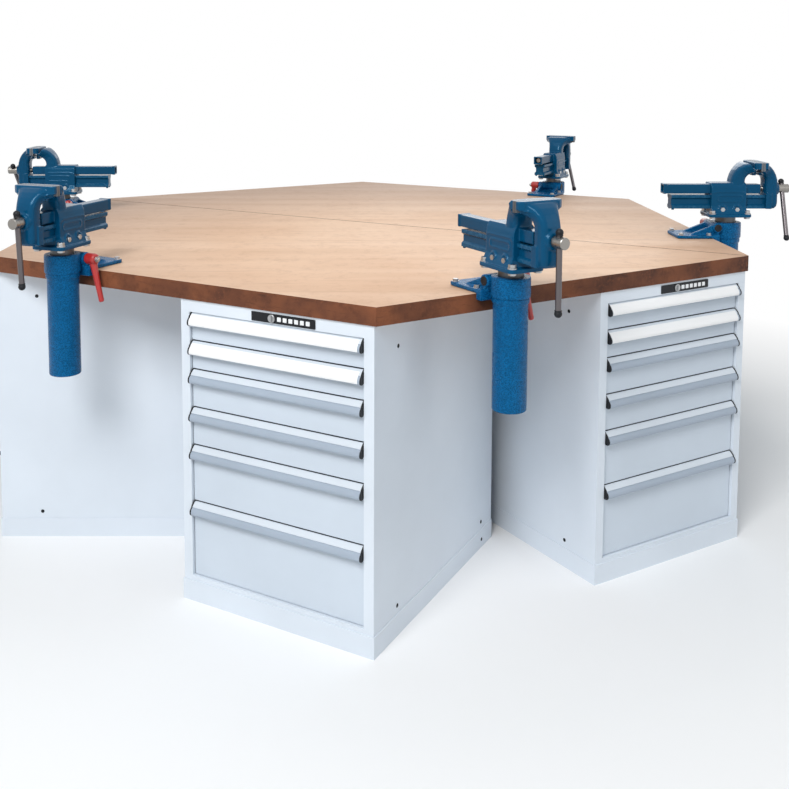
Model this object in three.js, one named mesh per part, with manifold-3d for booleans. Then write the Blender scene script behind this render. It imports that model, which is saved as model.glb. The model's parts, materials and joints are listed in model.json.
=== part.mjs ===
// Six-place hexagonal workbench: a beech worktop in two halves on six steel drawer cabinets, and five
// bench vices on height-adjusting, swivelling lifts clamped to its sides. Millimetres, +Z up, standing
// on z = 0 with the origin under the middle of the whole bench's box.
//
// Each of the six places has axes of its own: u points out of the bench across the place's side,
// v runs along that side and z is up. The cabinet is at the side's right end and the vice near its left.
import * as THREE from 'three';
import { mergeVertices } from 'three/addons/utils/BufferGeometryUtils.js';
import Module from 'manifold-3d';

const wasm = await Module();
wasm.setup();

// Fits shared by neighbouring pieces
const TOUCH_GAP = 0.3;
const SLIDE_GAP = 0.5;

// How far a joined or cutting solid runs on past the face that it meets
const OVERRUN = 1;

// Worktop
const SIDE = 1265;
const WORKTOP_THICK = 45;
const SEAM_GAP = 0.6;

// Drawer cabinet
const CABINET_WIDTH = 564;
const CABINET_DEPTH = 725;
const CABINET_INSET = 4.5;
const CABINET_CORNER_GAP = 7;
const SHEET = 3;
const STILE = 27;
const FRAME_DEPTH = 20;
const PLINTH_HEIGHT = 55;
const PLINTH_PROUD = 2.5;
const BOTTOM_RAIL = 13;
const TOP_RAIL = 32;
const DRAWER_HEIGHTS = [200, 150, 100, 100, 75, 75];

// Runner ledges that carry the drawers
const RUNNER_REACH = 15;
const RUNNER_FOOT = 2;
const RUNNER_HEIGHT = 10;
const RUNNER_BACK_GAP = 25;

// Drawer
const FRONT_GAP = 1.5;
const FRONT_RECESS = 8;
const FRONT_THICK = 18;
const BOX_WALL = 2;
const BOX_SIDE_GAP = 4;
const BOX_BACK_GAP = 56;
const BOX_HEADROOM = 15;
const LOCK_BAR_WIDTH = 40;
const LOCK_BAR_THICK = 6;

// Handle strip along the top of a drawer front
const HANDLE_PROUD = 22;
const HANDLE_HEIGHT = 34;
const HANDLE_TOP_FLAT = 12;
const HANDLE_KNEE_DROP = 17;
const HANDLE_BEND_DROP = 25.5;
const HANDLE_WALL = 4.5;

// Lift: a sleeve with a clamp collar and a bracket on the worktop's edge
const LIFT_FROM_CORNER = 342;
const LIFT_FROM_EDGE = 57;
const SLEEVE_RADIUS = 42;
const SLEEVE_LENGTH = 272;
const COLLAR_RADIUS = 48;
const COLLAR_HEIGHT = 55;
const COLLAR_DROP = 7;
const POST_RADIUS = 31;
const POST_LENGTH = 322;
const POST_SHOWS = 19;
const BORE_OVERRUN = 10;
const BRACKET_HALF_WIDTH = 60;
const BRACKET_REACH = 113;
const BRACKET_PLATE = 10;
const LIP_THICK = 20;
const LIP_DROP = 16;
const LIP_ABOVE_PLATE = 3;
const RIB_INSIDE = 28;
const RIB_THICK = 12;
const RIB_FROM_TAIL = 16.95;
const RIB_TOE = 2;
const RIB_BELOW_COLLAR = 2;
const RIB_SHOULDER_DROP = 4;
const CLAMP_BOSS_RADIUS = 16;
const CLAMP_BOSS_OUT = 40;
const CLAMP_BOSS_BELOW_TOP = 15;
const CLAMP_BOSS_HALF = 50;

// Clamp lever
const LEVER_HUB_RADIUS = 15;
const LEVER_HUB_LENGTH = 40;
const LEVER_ARM_RADIUS = 7.5;
const LEVER_TIP_RADIUS = 5.25;
const LEVER_TIP_CHAMFER = 3.75;
const LEVER_ARM_LENGTH = 118;
const LEVER_ARM_FROM_FACE = 20;
const LEVER_CRANK = THREE.MathUtils.degToRad(15);

// Vice body: u runs from the post's axis, heights from the underside of its foot
const FOOT_HALF_LENGTH = 68;
const FOOT_HALF_WIDTH = 50;
const FOOT_THICK = 10;
const BODY_BACK = 58;
const BODY_HALF_WIDTH = 33;
const BODY_TOP = 108;
const SLIDEWAY_OVERRUN = 5;
const JAW_PLANE = 93;
const JAW_TOP = 175;
const JAW_DEPTH = 30;
const JAW_THICK = 23;
const JAW_HALF_WIDTH = 62;

// The two jaw arms make a ring in side view, round the throat
const RING_CENTRE = 82;
const RING_HEIGHT = 103;
const RING_RADIUS = 77;
const THROAT_CENTRE = 84;
const THROAT_HEIGHT = 112;
const THROAT_RADIUS = 31;

// Square tube of the body that holds the spindle's nut, and the guide of the moving jaw below it
const TUBE_HALF_WIDTH = 16.5;
const TUBE_BOTTOM = 73;
const TUBE_HEIGHT = 30;
const TUBE_WALL = 3.5;
const TUBE_TAIL = 207;
const TUBE_FRONT = 104;
const GUIDE_HALF_WIDTH = 22;
const GUIDE_WEB_HALF = 17;
const GUIDE_BOTTOM = 25;
const GUIDE_HEIGHT = 44;
const GUIDE_FLANGE = 12;
const GUIDE_TAIL = 182;
const GUIDE_INTO_JAW = 2;
const JAW_FRONT = 159;
const JAW_CHIN = 10;
const JAW_BOSS_RADIUS = 22;
const JAW_BOSS_PROUD = 5;

// Spindle and its T-bar
const SPINDLE_ABOVE_FOOT = 88;
const SPINDLE_RADIUS = 9;
const SPINDLE_TAIL = 195;
const HEAD_RADIUS = 14;
const HEAD_LENGTH = 35;
const T_BAR_FROM_HEAD_BACK = 14;
const T_BAR_RADIUS = 7;
const T_BAR_HOLE_OVERRUN = 5;
const T_BAR_LENGTH = 184;
const T_BAR_BALL_RADIUS = 9;

// The five vices: the place that each stands at, its swivel and the lean of its T-bar, in degrees
const VICES = [
  { place: 1, swivel: 9.5, lean: 3 },
  { place: 2, swivel: -3, lean: 0 },
  { place: 3, swivel: 0, lean: -18 },
  { place: 4, swivel: 0, lean: -13.5 },
  { place: 6, swivel: 0, lean: -43 },
];
const PLACES = 6;
const OPENING_CABINETS = [1, 2];

// Facets of the round pieces
const ROUND = 20;
const SLIM_ROUND = 12;
const BALL_STEPS = 4;
const ARC_STEPS = 5;

// Sizes that follow from the ones above
const APOTHEM = SIDE * Math.cos(Math.PI / PLACES);
const BOX_LENGTH = CABINET_DEPTH - SHEET - BOX_BACK_GAP - FRONT_RECESS - FRONT_THICK;
const CABINET_HEIGHT = PLINTH_HEIGHT + BOTTOM_RAIL + TOP_RAIL + DRAWER_HEIGHTS.reduce((a, b) => a + b, 0);
const WORKTOP_BOTTOM = CABINET_HEIGHT + TOUCH_GAP;
const WORKTOP_TOP = WORKTOP_BOTTOM + WORKTOP_THICK;
const COLLAR_BOTTOM = WORKTOP_TOP - COLLAR_DROP;
const COLLAR_TOP = COLLAR_BOTTOM + COLLAR_HEIGHT;
const FOOT_BOTTOM = COLLAR_TOP + POST_SHOWS;
const SPINDLE_HEIGHT = FOOT_BOTTOM + SPINDLE_ABOVE_FOOT;
const JAW_NOSE = JAW_FRONT + JAW_BOSS_PROUD;
const HEAD_BACK = JAW_NOSE + TOUCH_GAP;
const HEAD_FRONT = HEAD_BACK + HEAD_LENGTH;
const CLAMP_HEIGHT = COLLAR_TOP - CLAMP_BOSS_BELOW_TOP;

const paint = (color, roughness, metalness) =>
  new THREE.MeshStandardMaterial({ color, roughness, metalness });

const FINISH = {
  beech: () => paint(0xc9a078, 0.5, 0),
  housing: () => paint(0xd3d7db, 0.45, 0.1),
  front: () => paint(0xb9c5d0, 0.45, 0.1),
  hammered: () => paint(0x1d4f9e, 0.35, 0.2),
  enamel: () => paint(0x17479e, 0.3, 0.1),
  steel: () => paint(0xb8b8b8, 0.3, 1),
  darkSteel: () => paint(0x55585c, 0.4, 1),
  red: () => paint(0xb5202a, 0.4, 0),
};

// A closed geometry as a solid that can be joined and cut
function solidOf(geometry) {
  const bare = geometry.clone();
  for (const name of Object.keys(bare.attributes)) {
    if (name !== 'position') bare.deleteAttribute(name);
  }
  const merged = mergeVertices(bare, 1e-4);
  const vertProperties = new Float32Array(merged.attributes.position.array);
  const triVerts = new Uint32Array(merged.index.array);
  return new wasm.Manifold(new wasm.Mesh({ numProp: 3, vertProperties, triVerts }));
}

function geometryOf(solid) {
  const { vertProperties, triVerts } = solid.getMesh();
  const geometry = new THREE.BufferGeometry();
  geometry.setAttribute('position', new THREE.BufferAttribute(vertProperties, 3));
  geometry.setIndex(new THREE.BufferAttribute(triVerts, 1));
  geometry.computeVertexNormals();
  return geometry;
}

const joined = (solids) => solids.reduce((whole, next) => whole.add(next));
const cut = (solid, tools) => tools.reduce((rest, tool) => rest.subtract(tool), solid);

// A block between two corners
function block([u0, v0, z0], [u1, v1, z1]) {
  const geometry = new THREE.BoxGeometry(u1 - u0, v1 - v0, z1 - z0);
  return solidOf(geometry.translate((u0 + u1) / 2, (v0 + v1) / 2, (z0 + z1) / 2));
}

// A block as wide on both sides of v = 0
const centred = (u0, u1, half, z0, z1) => block([u0, -half, z0], [u1, half, z1]);

// A side outline of [u, z] points, as thick as from v0 to v1
function prism(points, v0, v1) {
  const shape = new THREE.Shape(points.map(([u, z]) => new THREE.Vector2(u, z)));
  const geometry = new THREE.ExtrudeGeometry(shape, { depth: v1 - v0, bevelEnabled: false });
  return solidOf(geometry.rotateX(Math.PI / 2).translate(0, v1, 0));
}

// A turned piece about the z axis from a profile of [radius, height] points
function turned(profile, facets) {
  const points = profile.map(([r, z]) => new THREE.Vector2(r, z));
  return new THREE.LatheGeometry(points, facets).rotateX(Math.PI / 2);
}

const rod = (radius, z0, z1, facets) =>
  turned([[0, z0], [radius, z0], [radius, z1], [0, z1]], facets);

const rodAlongU = (radius, u0, u1, height, facets) =>
  solidOf(rod(radius, u0, u1, facets).rotateY(Math.PI / 2).translate(0, 0, height));

const rodAlongV = (radius, v0, v1, u, height, facets) =>
  solidOf(rod(radius, v0, v1, facets).rotateX(-Math.PI / 2).translate(u, 0, height));

function piece(parent, name, solid, material) {
  const mesh = new THREE.Mesh(geometryOf(solid), material);
  mesh.name = name;
  parent.add(mesh);
  return mesh;
}

// Worktop: the hexagon is cut along a diagonal into two like halves
function worktopHalf(turn) {
  const halfSeam = SEAM_GAP / 2;
  const slope = Math.tan(Math.PI / PLACES);
  const outer = [[SIDE - halfSeam * slope, halfSeam]];
  for (const corner of [1, 2]) {
    const angle = (corner * Math.PI) / 3;
    outer.push([SIDE * Math.cos(angle), SIDE * Math.sin(angle)]);
  }
  outer.push([-SIDE + halfSeam * slope, halfSeam]);
  const shape = new THREE.Shape(outer.map(([x, y]) => new THREE.Vector2(x, y)));
  const geometry = new THREE.ExtrudeGeometry(shape, { depth: WORKTOP_THICK, bevelEnabled: false });
  return solidOf(geometry.rotateZ(turn).translate(0, 0, WORKTOP_BOTTOM));
}

// Drawer heights as [bottom, top] pairs above the floor, from the lowest drawer up
function drawerBays() {
  const bays = [];
  let bottom = PLINTH_HEIGHT + BOTTOM_RAIL;
  for (const height of DRAWER_HEIGHTS) {
    bays.push([bottom, bottom + height]);
    bottom += height;
  }
  return bays;
}

// Cabinet housing: its front face is u = 0 and its middle v = 0
function cabinetHousing() {
  const half = CABINET_WIDTH / 2;
  const back = -CABINET_DEPTH;
  const floorTop = PLINTH_HEIGHT + BOTTOM_RAIL;
  const mouthTop = CABINET_HEIGHT - TOP_RAIL;
  const shell = joined([
    centred(back, 0, half, PLINTH_HEIGHT - OVERRUN, CABINET_HEIGHT),
    centred(back, PLINTH_PROUD, half + PLINTH_PROUD, 0, PLINTH_HEIGHT),
  ]);
  const hollow = cut(shell, [
    centred(back + SHEET, -FRAME_DEPTH, half - SHEET, floorTop, CABINET_HEIGHT - SHEET),
    centred(-FRAME_DEPTH - OVERRUN, OVERRUN, half - STILE, floorTop, mouthTop),
    centred(back + SHEET, -SHEET, half - SHEET, -OVERRUN, floorTop - SHEET),
  ]);
  const runners = drawerBays().flatMap(([bottom]) => {
    const z0 = bottom + RUNNER_FOOT;
    const from = [back + RUNNER_BACK_GAP, half - STILE - RUNNER_REACH, z0];
    const to = [-FRONT_RECESS - FRONT_THICK - TOUCH_GAP, half - SHEET / 2, z0 + RUNNER_HEIGHT];
    return [block(from, to), block([from[0], -to[1], from[2]], [to[0], -from[1], to[2]])];
  });
  return joined([hollow, ...runners]);
}

// Outline of the handle strip: a sheet that leans out from the front's top edge and curls under
function handleOutline(face, top) {
  const lip = top - HANDLE_HEIGHT;
  const outside = face + HANDLE_PROUD;
  const inside = outside - HANDLE_WALL;
  return [
    [face - OVERRUN, top],
    [face + HANDLE_TOP_FLAT, top],
    [outside, top - HANDLE_KNEE_DROP],
    [outside, top - HANDLE_BEND_DROP],
    [inside, lip],
    [inside - HANDLE_WALL, lip],
    [inside, top - HANDLE_BEND_DROP],
    [inside, top - HANDLE_KNEE_DROP],
    [face + HANDLE_TOP_FLAT - HANDLE_WALL / 2, top - HANDLE_WALL],
    [face - OVERRUN, top - HANDLE_WALL],
  ];
}

// One drawer in its bay: front, handle strip and open box
function drawer([bottom, top]) {
  const frontHalf = CABINET_WIDTH / 2 - STILE - FRONT_GAP;
  const boxHalf = CABINET_WIDTH / 2 - STILE - BOX_SIDE_GAP;
  const face = -FRONT_RECESS;
  const frontBack = face - FRONT_THICK;
  const boxBack = frontBack - BOX_LENGTH;
  const boxBottom = bottom + RUNNER_FOOT + RUNNER_HEIGHT + TOUCH_GAP;
  const boxTop = top - BOX_HEADROOM;
  const box = cut(centred(boxBack, frontBack + OVERRUN, boxHalf, boxBottom, boxTop), [
    centred(boxBack + BOX_WALL, frontBack, boxHalf - BOX_WALL, boxBottom + BOX_WALL, boxTop + OVERRUN),
  ]);
  return joined([
    centred(frontBack, face, frontHalf, bottom + FRONT_GAP, top - FRONT_GAP),
    prism(handleOutline(face, top - FRONT_GAP), -frontHalf, frontHalf),
    box,
  ]);
}

// The drawers of a cabinet that is kept shut, held together by its lock bar behind the boxes
function lockedDrawers() {
  const bays = drawerBays();
  const boxBack = -FRONT_RECESS - FRONT_THICK - BOX_LENGTH;
  const lowest = bays[0][0] + RUNNER_FOOT + RUNNER_HEIGHT + BOX_WALL;
  const highest = bays[bays.length - 1][1] - BOX_HEADROOM;
  const bar = centred(boxBack - LOCK_BAR_THICK, boxBack + OVERRUN, LOCK_BAR_WIDTH / 2, lowest, highest);
  return joined([bar, ...bays.map(drawer)]);
}

// Lift column: sleeve, clamp collar and edge bracket in one casting; the post's axis is u = v = 0
function liftColumn() {
  const edge = -LIFT_FROM_EDGE;
  const plateBottom = WORKTOP_TOP + TOUCH_GAP;
  const plateTop = plateBottom + BRACKET_PLATE;
  const bore = POST_RADIUS + SLIDE_GAP;
  const outside = turned([
    [0, COLLAR_BOTTOM - SLEEVE_LENGTH],
    [SLEEVE_RADIUS, COLLAR_BOTTOM - SLEEVE_LENGTH],
    [SLEEVE_RADIUS, COLLAR_BOTTOM],
    [COLLAR_RADIUS, COLLAR_BOTTOM],
    [COLLAR_RADIUS, COLLAR_TOP],
    [0, COLLAR_TOP],
  ], ROUND);
  const lipBack = edge + TOUCH_GAP;
  const ribTail = edge - BRACKET_REACH + RIB_FROM_TAIL;
  const ribs = [-1, 1].map((side) => {
    const near = side * RIB_INSIDE;
    const far = side * (RIB_INSIDE + RIB_THICK);
    const outline = [
      [ribTail, plateTop - OVERRUN],
      [-POST_RADIUS, plateTop - OVERRUN],
      [-POST_RADIUS, COLLAR_TOP - RIB_BELOW_COLLAR],
      [-COLLAR_RADIUS, COLLAR_TOP - RIB_SHOULDER_DROP],
      [ribTail, plateTop + RIB_TOE],
    ];
    return prism(outline, Math.min(near, far), Math.max(near, far));
  });
  const casting = joined([
    solidOf(outside),
    centred(edge - BRACKET_REACH, lipBack + OVERRUN, BRACKET_HALF_WIDTH, plateBottom, plateTop),
    centred(lipBack, lipBack + LIP_THICK, BRACKET_HALF_WIDTH,
      WORKTOP_TOP - LIP_DROP, plateTop + LIP_ABOVE_PLATE),
    rodAlongV(CLAMP_BOSS_RADIUS, -CLAMP_BOSS_HALF, CLAMP_BOSS_HALF, -CLAMP_BOSS_OUT, CLAMP_HEIGHT, ROUND),
    ...ribs,
  ]);
  const boreBottom = COLLAR_BOTTOM - SLEEVE_LENGTH - OVERRUN;
  return cut(casting, [solidOf(rod(bore, boreBottom, COLLAR_TOP + BORE_OVERRUN, ROUND))]);
}

function liftPost() {
  const top = FOOT_BOTTOM - TOUCH_GAP;
  return solidOf(rod(POST_RADIUS, top - POST_LENGTH, top, ROUND));
}

// Clamp lever: a hub on the collar's clamp bolt and an arm that hangs from it, cranked outwards
function clampLever() {
  const hubStart = CLAMP_BOSS_HALF + TOUCH_GAP;
  const hub = rodAlongV(LEVER_HUB_RADIUS, hubStart, hubStart + LEVER_HUB_LENGTH,
    -CLAMP_BOSS_OUT, CLAMP_HEIGHT, ROUND);
  const arm = turned([
    [0, -LEVER_ARM_LENGTH],
    [LEVER_TIP_RADIUS, -LEVER_ARM_LENGTH],
    [LEVER_ARM_RADIUS, -LEVER_ARM_LENGTH + LEVER_TIP_CHAMFER],
    [LEVER_ARM_RADIUS, 0],
    [0, 0],
  ], SLIM_ROUND);
  arm.rotateX(LEVER_CRANK).translate(-CLAMP_BOSS_OUT, hubStart + LEVER_ARM_FROM_FACE, CLAMP_HEIGHT);
  return joined([hub, solidOf(arm)]);
}

// Points of an arc in side view, between two angles from the u axis
function arc(u, height, radius, from, to) {
  return Array.from({ length: ARC_STEPS + 1 }, (_, step) => {
    const angle = from + ((to - from) * step) / ARC_STEPS;
    return [u + radius * Math.cos(angle), height + radius * Math.sin(angle)];
  });
}

const aboveFoot = (height) => FOOT_BOTTOM + height;
const ringTopAngle = Math.asin((JAW_TOP - RING_HEIGHT) / RING_RADIUS);
const ringFootAngle = Math.asin((BODY_TOP - RING_HEIGHT) / RING_RADIUS);
const throatMeet = (face) => Math.acos((face - THROAT_CENTRE) / THROAT_RADIUS);
const ring = (from, to) => arc(RING_CENTRE, aboveFoot(RING_HEIGHT), RING_RADIUS, from, to);
const throat = (from, to) => arc(THROAT_CENTRE, aboveFoot(THROAT_HEIGHT), THROAT_RADIUS, from, to);

// Vice body: foot, trunk with the guide's slideway, fixed jaw and the square tube of the spindle's nut
function viceBody() {
  const z = aboveFoot;
  const face = JAW_PLANE - TOUCH_GAP / 2;
  const bodyFront = THROAT_CENTRE - THROAT_RADIUS;
  const underArm = z(TUBE_BOTTOM + TUBE_HEIGHT / 2);
  const arm = [
    [-BODY_BACK, underArm],
    [bodyFront, underArm],
    ...throat(Math.PI, throatMeet(face)),
    [face, z(JAW_TOP)],
    ...ring(Math.PI - ringTopAngle, Math.PI - ringFootAngle),
    [-BODY_BACK, z(BODY_TOP)],
  ];
  const trunk = joined([
    centred(-FOOT_HALF_LENGTH, FOOT_HALF_LENGTH, FOOT_HALF_WIDTH, z(0), z(FOOT_THICK)),
    centred(-BODY_BACK, bodyFront, BODY_HALF_WIDTH, z(FOOT_THICK - OVERRUN), underArm + OVERRUN),
    prism(arm, -BODY_HALF_WIDTH, BODY_HALF_WIDTH),
    centred(face - JAW_THICK, face, JAW_HALF_WIDTH, z(JAW_TOP - JAW_DEPTH), z(JAW_TOP)),
    centred(-TUBE_TAIL, TUBE_FRONT, TUBE_HALF_WIDTH, z(TUBE_BOTTOM), z(TUBE_BOTTOM + TUBE_HEIGHT)),
  ]);
  return cut(trunk, [
    centred(-BODY_BACK - SLIDEWAY_OVERRUN, bodyFront + SLIDEWAY_OVERRUN, GUIDE_HALF_WIDTH + SLIDE_GAP,
      z(GUIDE_BOTTOM - SLIDE_GAP), z(GUIDE_BOTTOM + GUIDE_HEIGHT + SLIDE_GAP)),
    centred(-TUBE_TAIL - OVERRUN, -BODY_BACK, TUBE_HALF_WIDTH - TUBE_WALL,
      z(TUBE_BOTTOM + TUBE_WALL), z(TUBE_BOTTOM + TUBE_HEIGHT - TUBE_WALL)),
    rodAlongU(SPINDLE_RADIUS + SLIDE_GAP, -BODY_BACK - OVERRUN, TUBE_FRONT + OVERRUN,
      SPINDLE_HEIGHT, SLIM_ROUND),
  ]);
}

// Moving jaw with its guide, whose flanges run in the body's slideway
function movingJaw() {
  const z = aboveFoot;
  const face = JAW_PLANE + TOUCH_GAP / 2;
  const inner = THROAT_CENTRE + THROAT_RADIUS;
  const guideTop = GUIDE_BOTTOM + GUIDE_HEIGHT;
  const arm = [
    [inner, z(GUIDE_BOTTOM)],
    ...throat(0, throatMeet(face)),
    [face, z(JAW_TOP)],
    ...ring(ringTopAngle, 0),
    [JAW_FRONT, z(GUIDE_BOTTOM + JAW_CHIN)],
    [JAW_FRONT - JAW_CHIN, z(GUIDE_BOTTOM)],
  ];
  const guide = (half, low, high) => centred(-GUIDE_TAIL, inner + GUIDE_INTO_JAW, half, z(low), z(high));
  const whole = joined([
    prism(arm, -BODY_HALF_WIDTH, BODY_HALF_WIDTH),
    centred(face, face + JAW_THICK, JAW_HALF_WIDTH, z(JAW_TOP - JAW_DEPTH), z(JAW_TOP)),
    rodAlongU(JAW_BOSS_RADIUS, inner + GUIDE_INTO_JAW, JAW_NOSE, SPINDLE_HEIGHT, ROUND),
    guide(GUIDE_WEB_HALF, GUIDE_BOTTOM, guideTop),
    guide(GUIDE_HALF_WIDTH, GUIDE_BOTTOM, GUIDE_BOTTOM + GUIDE_FLANGE),
    guide(GUIDE_HALF_WIDTH, guideTop - GUIDE_FLANGE, guideTop),
  ]);
  return cut(whole, [
    rodAlongU(SPINDLE_RADIUS + SLIDE_GAP, inner - OVERRUN, JAW_NOSE + OVERRUN, SPINDLE_HEIGHT, SLIM_ROUND),
  ]);
}

// The T-bar hangs with its upper ball on the spindle's head
const T_BAR_HANG = HEAD_RADIUS + T_BAR_BALL_RADIUS;
const T_BAR_OUT = HEAD_BACK + T_BAR_FROM_HEAD_BACK;

// Spindle: plain screw and head, with the hole that its T-bar slides in
function spindle(lean) {
  const screw = rodAlongU(SPINDLE_RADIUS, -SPINDLE_TAIL, HEAD_BACK + OVERRUN, SPINDLE_HEIGHT, SLIM_ROUND);
  const head = rodAlongU(HEAD_RADIUS, HEAD_BACK, HEAD_FRONT, SPINDLE_HEIGHT, ROUND);
  const reach = HEAD_RADIUS + T_BAR_HOLE_OVERRUN;
  const hole = rod(T_BAR_RADIUS + SLIDE_GAP, -reach, reach, SLIM_ROUND);
  hole.rotateX(lean).translate(T_BAR_OUT, 0, SPINDLE_HEIGHT);
  return cut(joined([screw, head]), [solidOf(hole)]);
}

function tBar(lean) {
  const low = T_BAR_HANG - T_BAR_LENGTH;
  const neck = Math.asin(T_BAR_RADIUS / T_BAR_BALL_RADIUS);
  const arc = (centre, from, to) => {
    const points = [];
    for (let step = 0; step <= BALL_STEPS; step += 1) {
      const angle = from + ((to - from) * step) / BALL_STEPS;
      const r = T_BAR_BALL_RADIUS * Math.sin(angle);
      points.push([Math.abs(r) < 1e-9 ? 0 : r, centre - T_BAR_BALL_RADIUS * Math.cos(angle)]);
    }
    return points;
  };
  const profile = [...arc(low, 0, Math.PI - neck), ...arc(T_BAR_HANG, neck, Math.PI)];
  const bar = turned(profile, SLIM_ROUND);
  return solidOf(bar.rotateX(lean).translate(T_BAR_OUT, 0, SPINDLE_HEIGHT));
}

// The whole bench
const bench = new THREE.Group();
const FRONT_VICE_TURN = -Math.PI / 3;
const headReach = APOTHEM + LIFT_FROM_EDGE + HEAD_FRONT;
const headSide = SIDE / 2 - LIFT_FROM_CORNER + HEAD_RADIUS;
const frontReach = -(headReach * Math.sin(FRONT_VICE_TURN) - headSide * Math.cos(FRONT_VICE_TURN));
bench.position.y = (frontReach - SIDE) / 2;

const SEAM_TURN = -Math.PI / PLACES;
piece(bench, 'worktop_rear_half', worktopHalf(SEAM_TURN), FINISH.beech());
piece(bench, 'worktop_front_half', worktopHalf(SEAM_TURN + Math.PI), FINISH.beech());

for (let place = 1; place <= PLACES; place += 1) {
  const side = new THREE.Group();
  side.rotation.z = ((place - 3) * Math.PI) / 3;
  bench.add(side);

  const cabinet = new THREE.Group();
  cabinet.position.set(APOTHEM - CABINET_INSET, SIDE / 2 - CABINET_CORNER_GAP - CABINET_WIDTH / 2, 0);
  side.add(cabinet);
  piece(cabinet, `cabinet_${place}_housing`, cabinetHousing(), FINISH.housing());
  if (OPENING_CABINETS.includes(place)) {
    const bays = drawerBays().reverse();
    bays.forEach((bay, row) => {
      piece(cabinet, `cabinet_${place}_drawer_${row + 1}`, drawer(bay), FINISH.front());
    });
  } else {
    piece(cabinet, `cabinet_${place}_drawers`, lockedDrawers(), FINISH.front());
  }

  const stand = VICES.find((vice) => vice.place === place);
  if (!stand) continue;
  const lean = THREE.MathUtils.degToRad(stand.lean);
  const lift = new THREE.Group();
  lift.position.set(APOTHEM + LIFT_FROM_EDGE, LIFT_FROM_CORNER - SIDE / 2, 0);
  side.add(lift);
  piece(lift, `vice_${place}_lift_column`, liftColumn(), FINISH.hammered());
  piece(lift, `vice_${place}_clamp_lever`, clampLever(), FINISH.red());
  piece(lift, `vice_${place}_lift_post`, liftPost(), FINISH.darkSteel());

  const vice = new THREE.Group();
  vice.rotation.z = THREE.MathUtils.degToRad(stand.swivel);
  lift.add(vice);
  piece(vice, `vice_${place}_body`, viceBody(), FINISH.enamel());
  piece(vice, `vice_${place}_moving_jaw`, movingJaw(), FINISH.enamel());
  piece(vice, `vice_${place}_spindle`, spindle(lean), FINISH.steel());
  piece(vice, `vice_${place}_t_bar`, tBar(lean), FINISH.steel());
}

export default bench;
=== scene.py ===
"""Dresses the hexagonal workbench: worktop, drawer cabinets, lifts and vices.

Meshes are drawn in millimetres in the axes of their own sub-assembly and scaled to metres when they are
placed. At each of the six sides u points out of the bench, v runs along the side and z is up.
"""

import json
import logging
import math
from dataclasses import dataclass
from enum import Enum
from typing import Iterable, Sequence

import bmesh
import bpy
from mathutils import Matrix, Vector


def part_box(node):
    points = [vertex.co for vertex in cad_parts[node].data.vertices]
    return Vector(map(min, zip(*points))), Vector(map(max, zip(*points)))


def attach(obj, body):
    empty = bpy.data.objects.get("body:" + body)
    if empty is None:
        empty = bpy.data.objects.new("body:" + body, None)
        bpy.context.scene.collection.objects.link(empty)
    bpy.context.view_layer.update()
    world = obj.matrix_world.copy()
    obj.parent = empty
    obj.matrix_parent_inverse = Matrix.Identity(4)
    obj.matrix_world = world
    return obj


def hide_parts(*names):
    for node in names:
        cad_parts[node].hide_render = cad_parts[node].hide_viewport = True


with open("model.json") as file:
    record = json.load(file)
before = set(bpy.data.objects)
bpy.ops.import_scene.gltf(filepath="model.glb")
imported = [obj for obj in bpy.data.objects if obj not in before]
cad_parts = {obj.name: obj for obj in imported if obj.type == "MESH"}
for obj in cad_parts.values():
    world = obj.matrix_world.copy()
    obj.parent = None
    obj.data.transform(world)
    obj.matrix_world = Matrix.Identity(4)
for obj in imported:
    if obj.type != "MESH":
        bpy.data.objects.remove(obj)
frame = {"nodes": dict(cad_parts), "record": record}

LOG = logging.getLogger("workbench")
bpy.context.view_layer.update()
MM = 0.001
ROOT = "bench"
SIDES = 6
SIDE_FACING_X = 3
SHARP_ANGLE = math.radians(38)
JOINTS = {joint["name"]: joint for joint in frame["record"]["behaviour"]["joints"]}

Point = Sequence[float]
Colour = tuple[float, float, float]
WHITE: Colour = (1.0, 1.0, 1.0)


class Axis(Enum):
    """The direction that an outline is pulled along; the outline lies in the other two axes."""

    U = "u"
    V = "v"
    Z = "z"


# Shader tools


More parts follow.
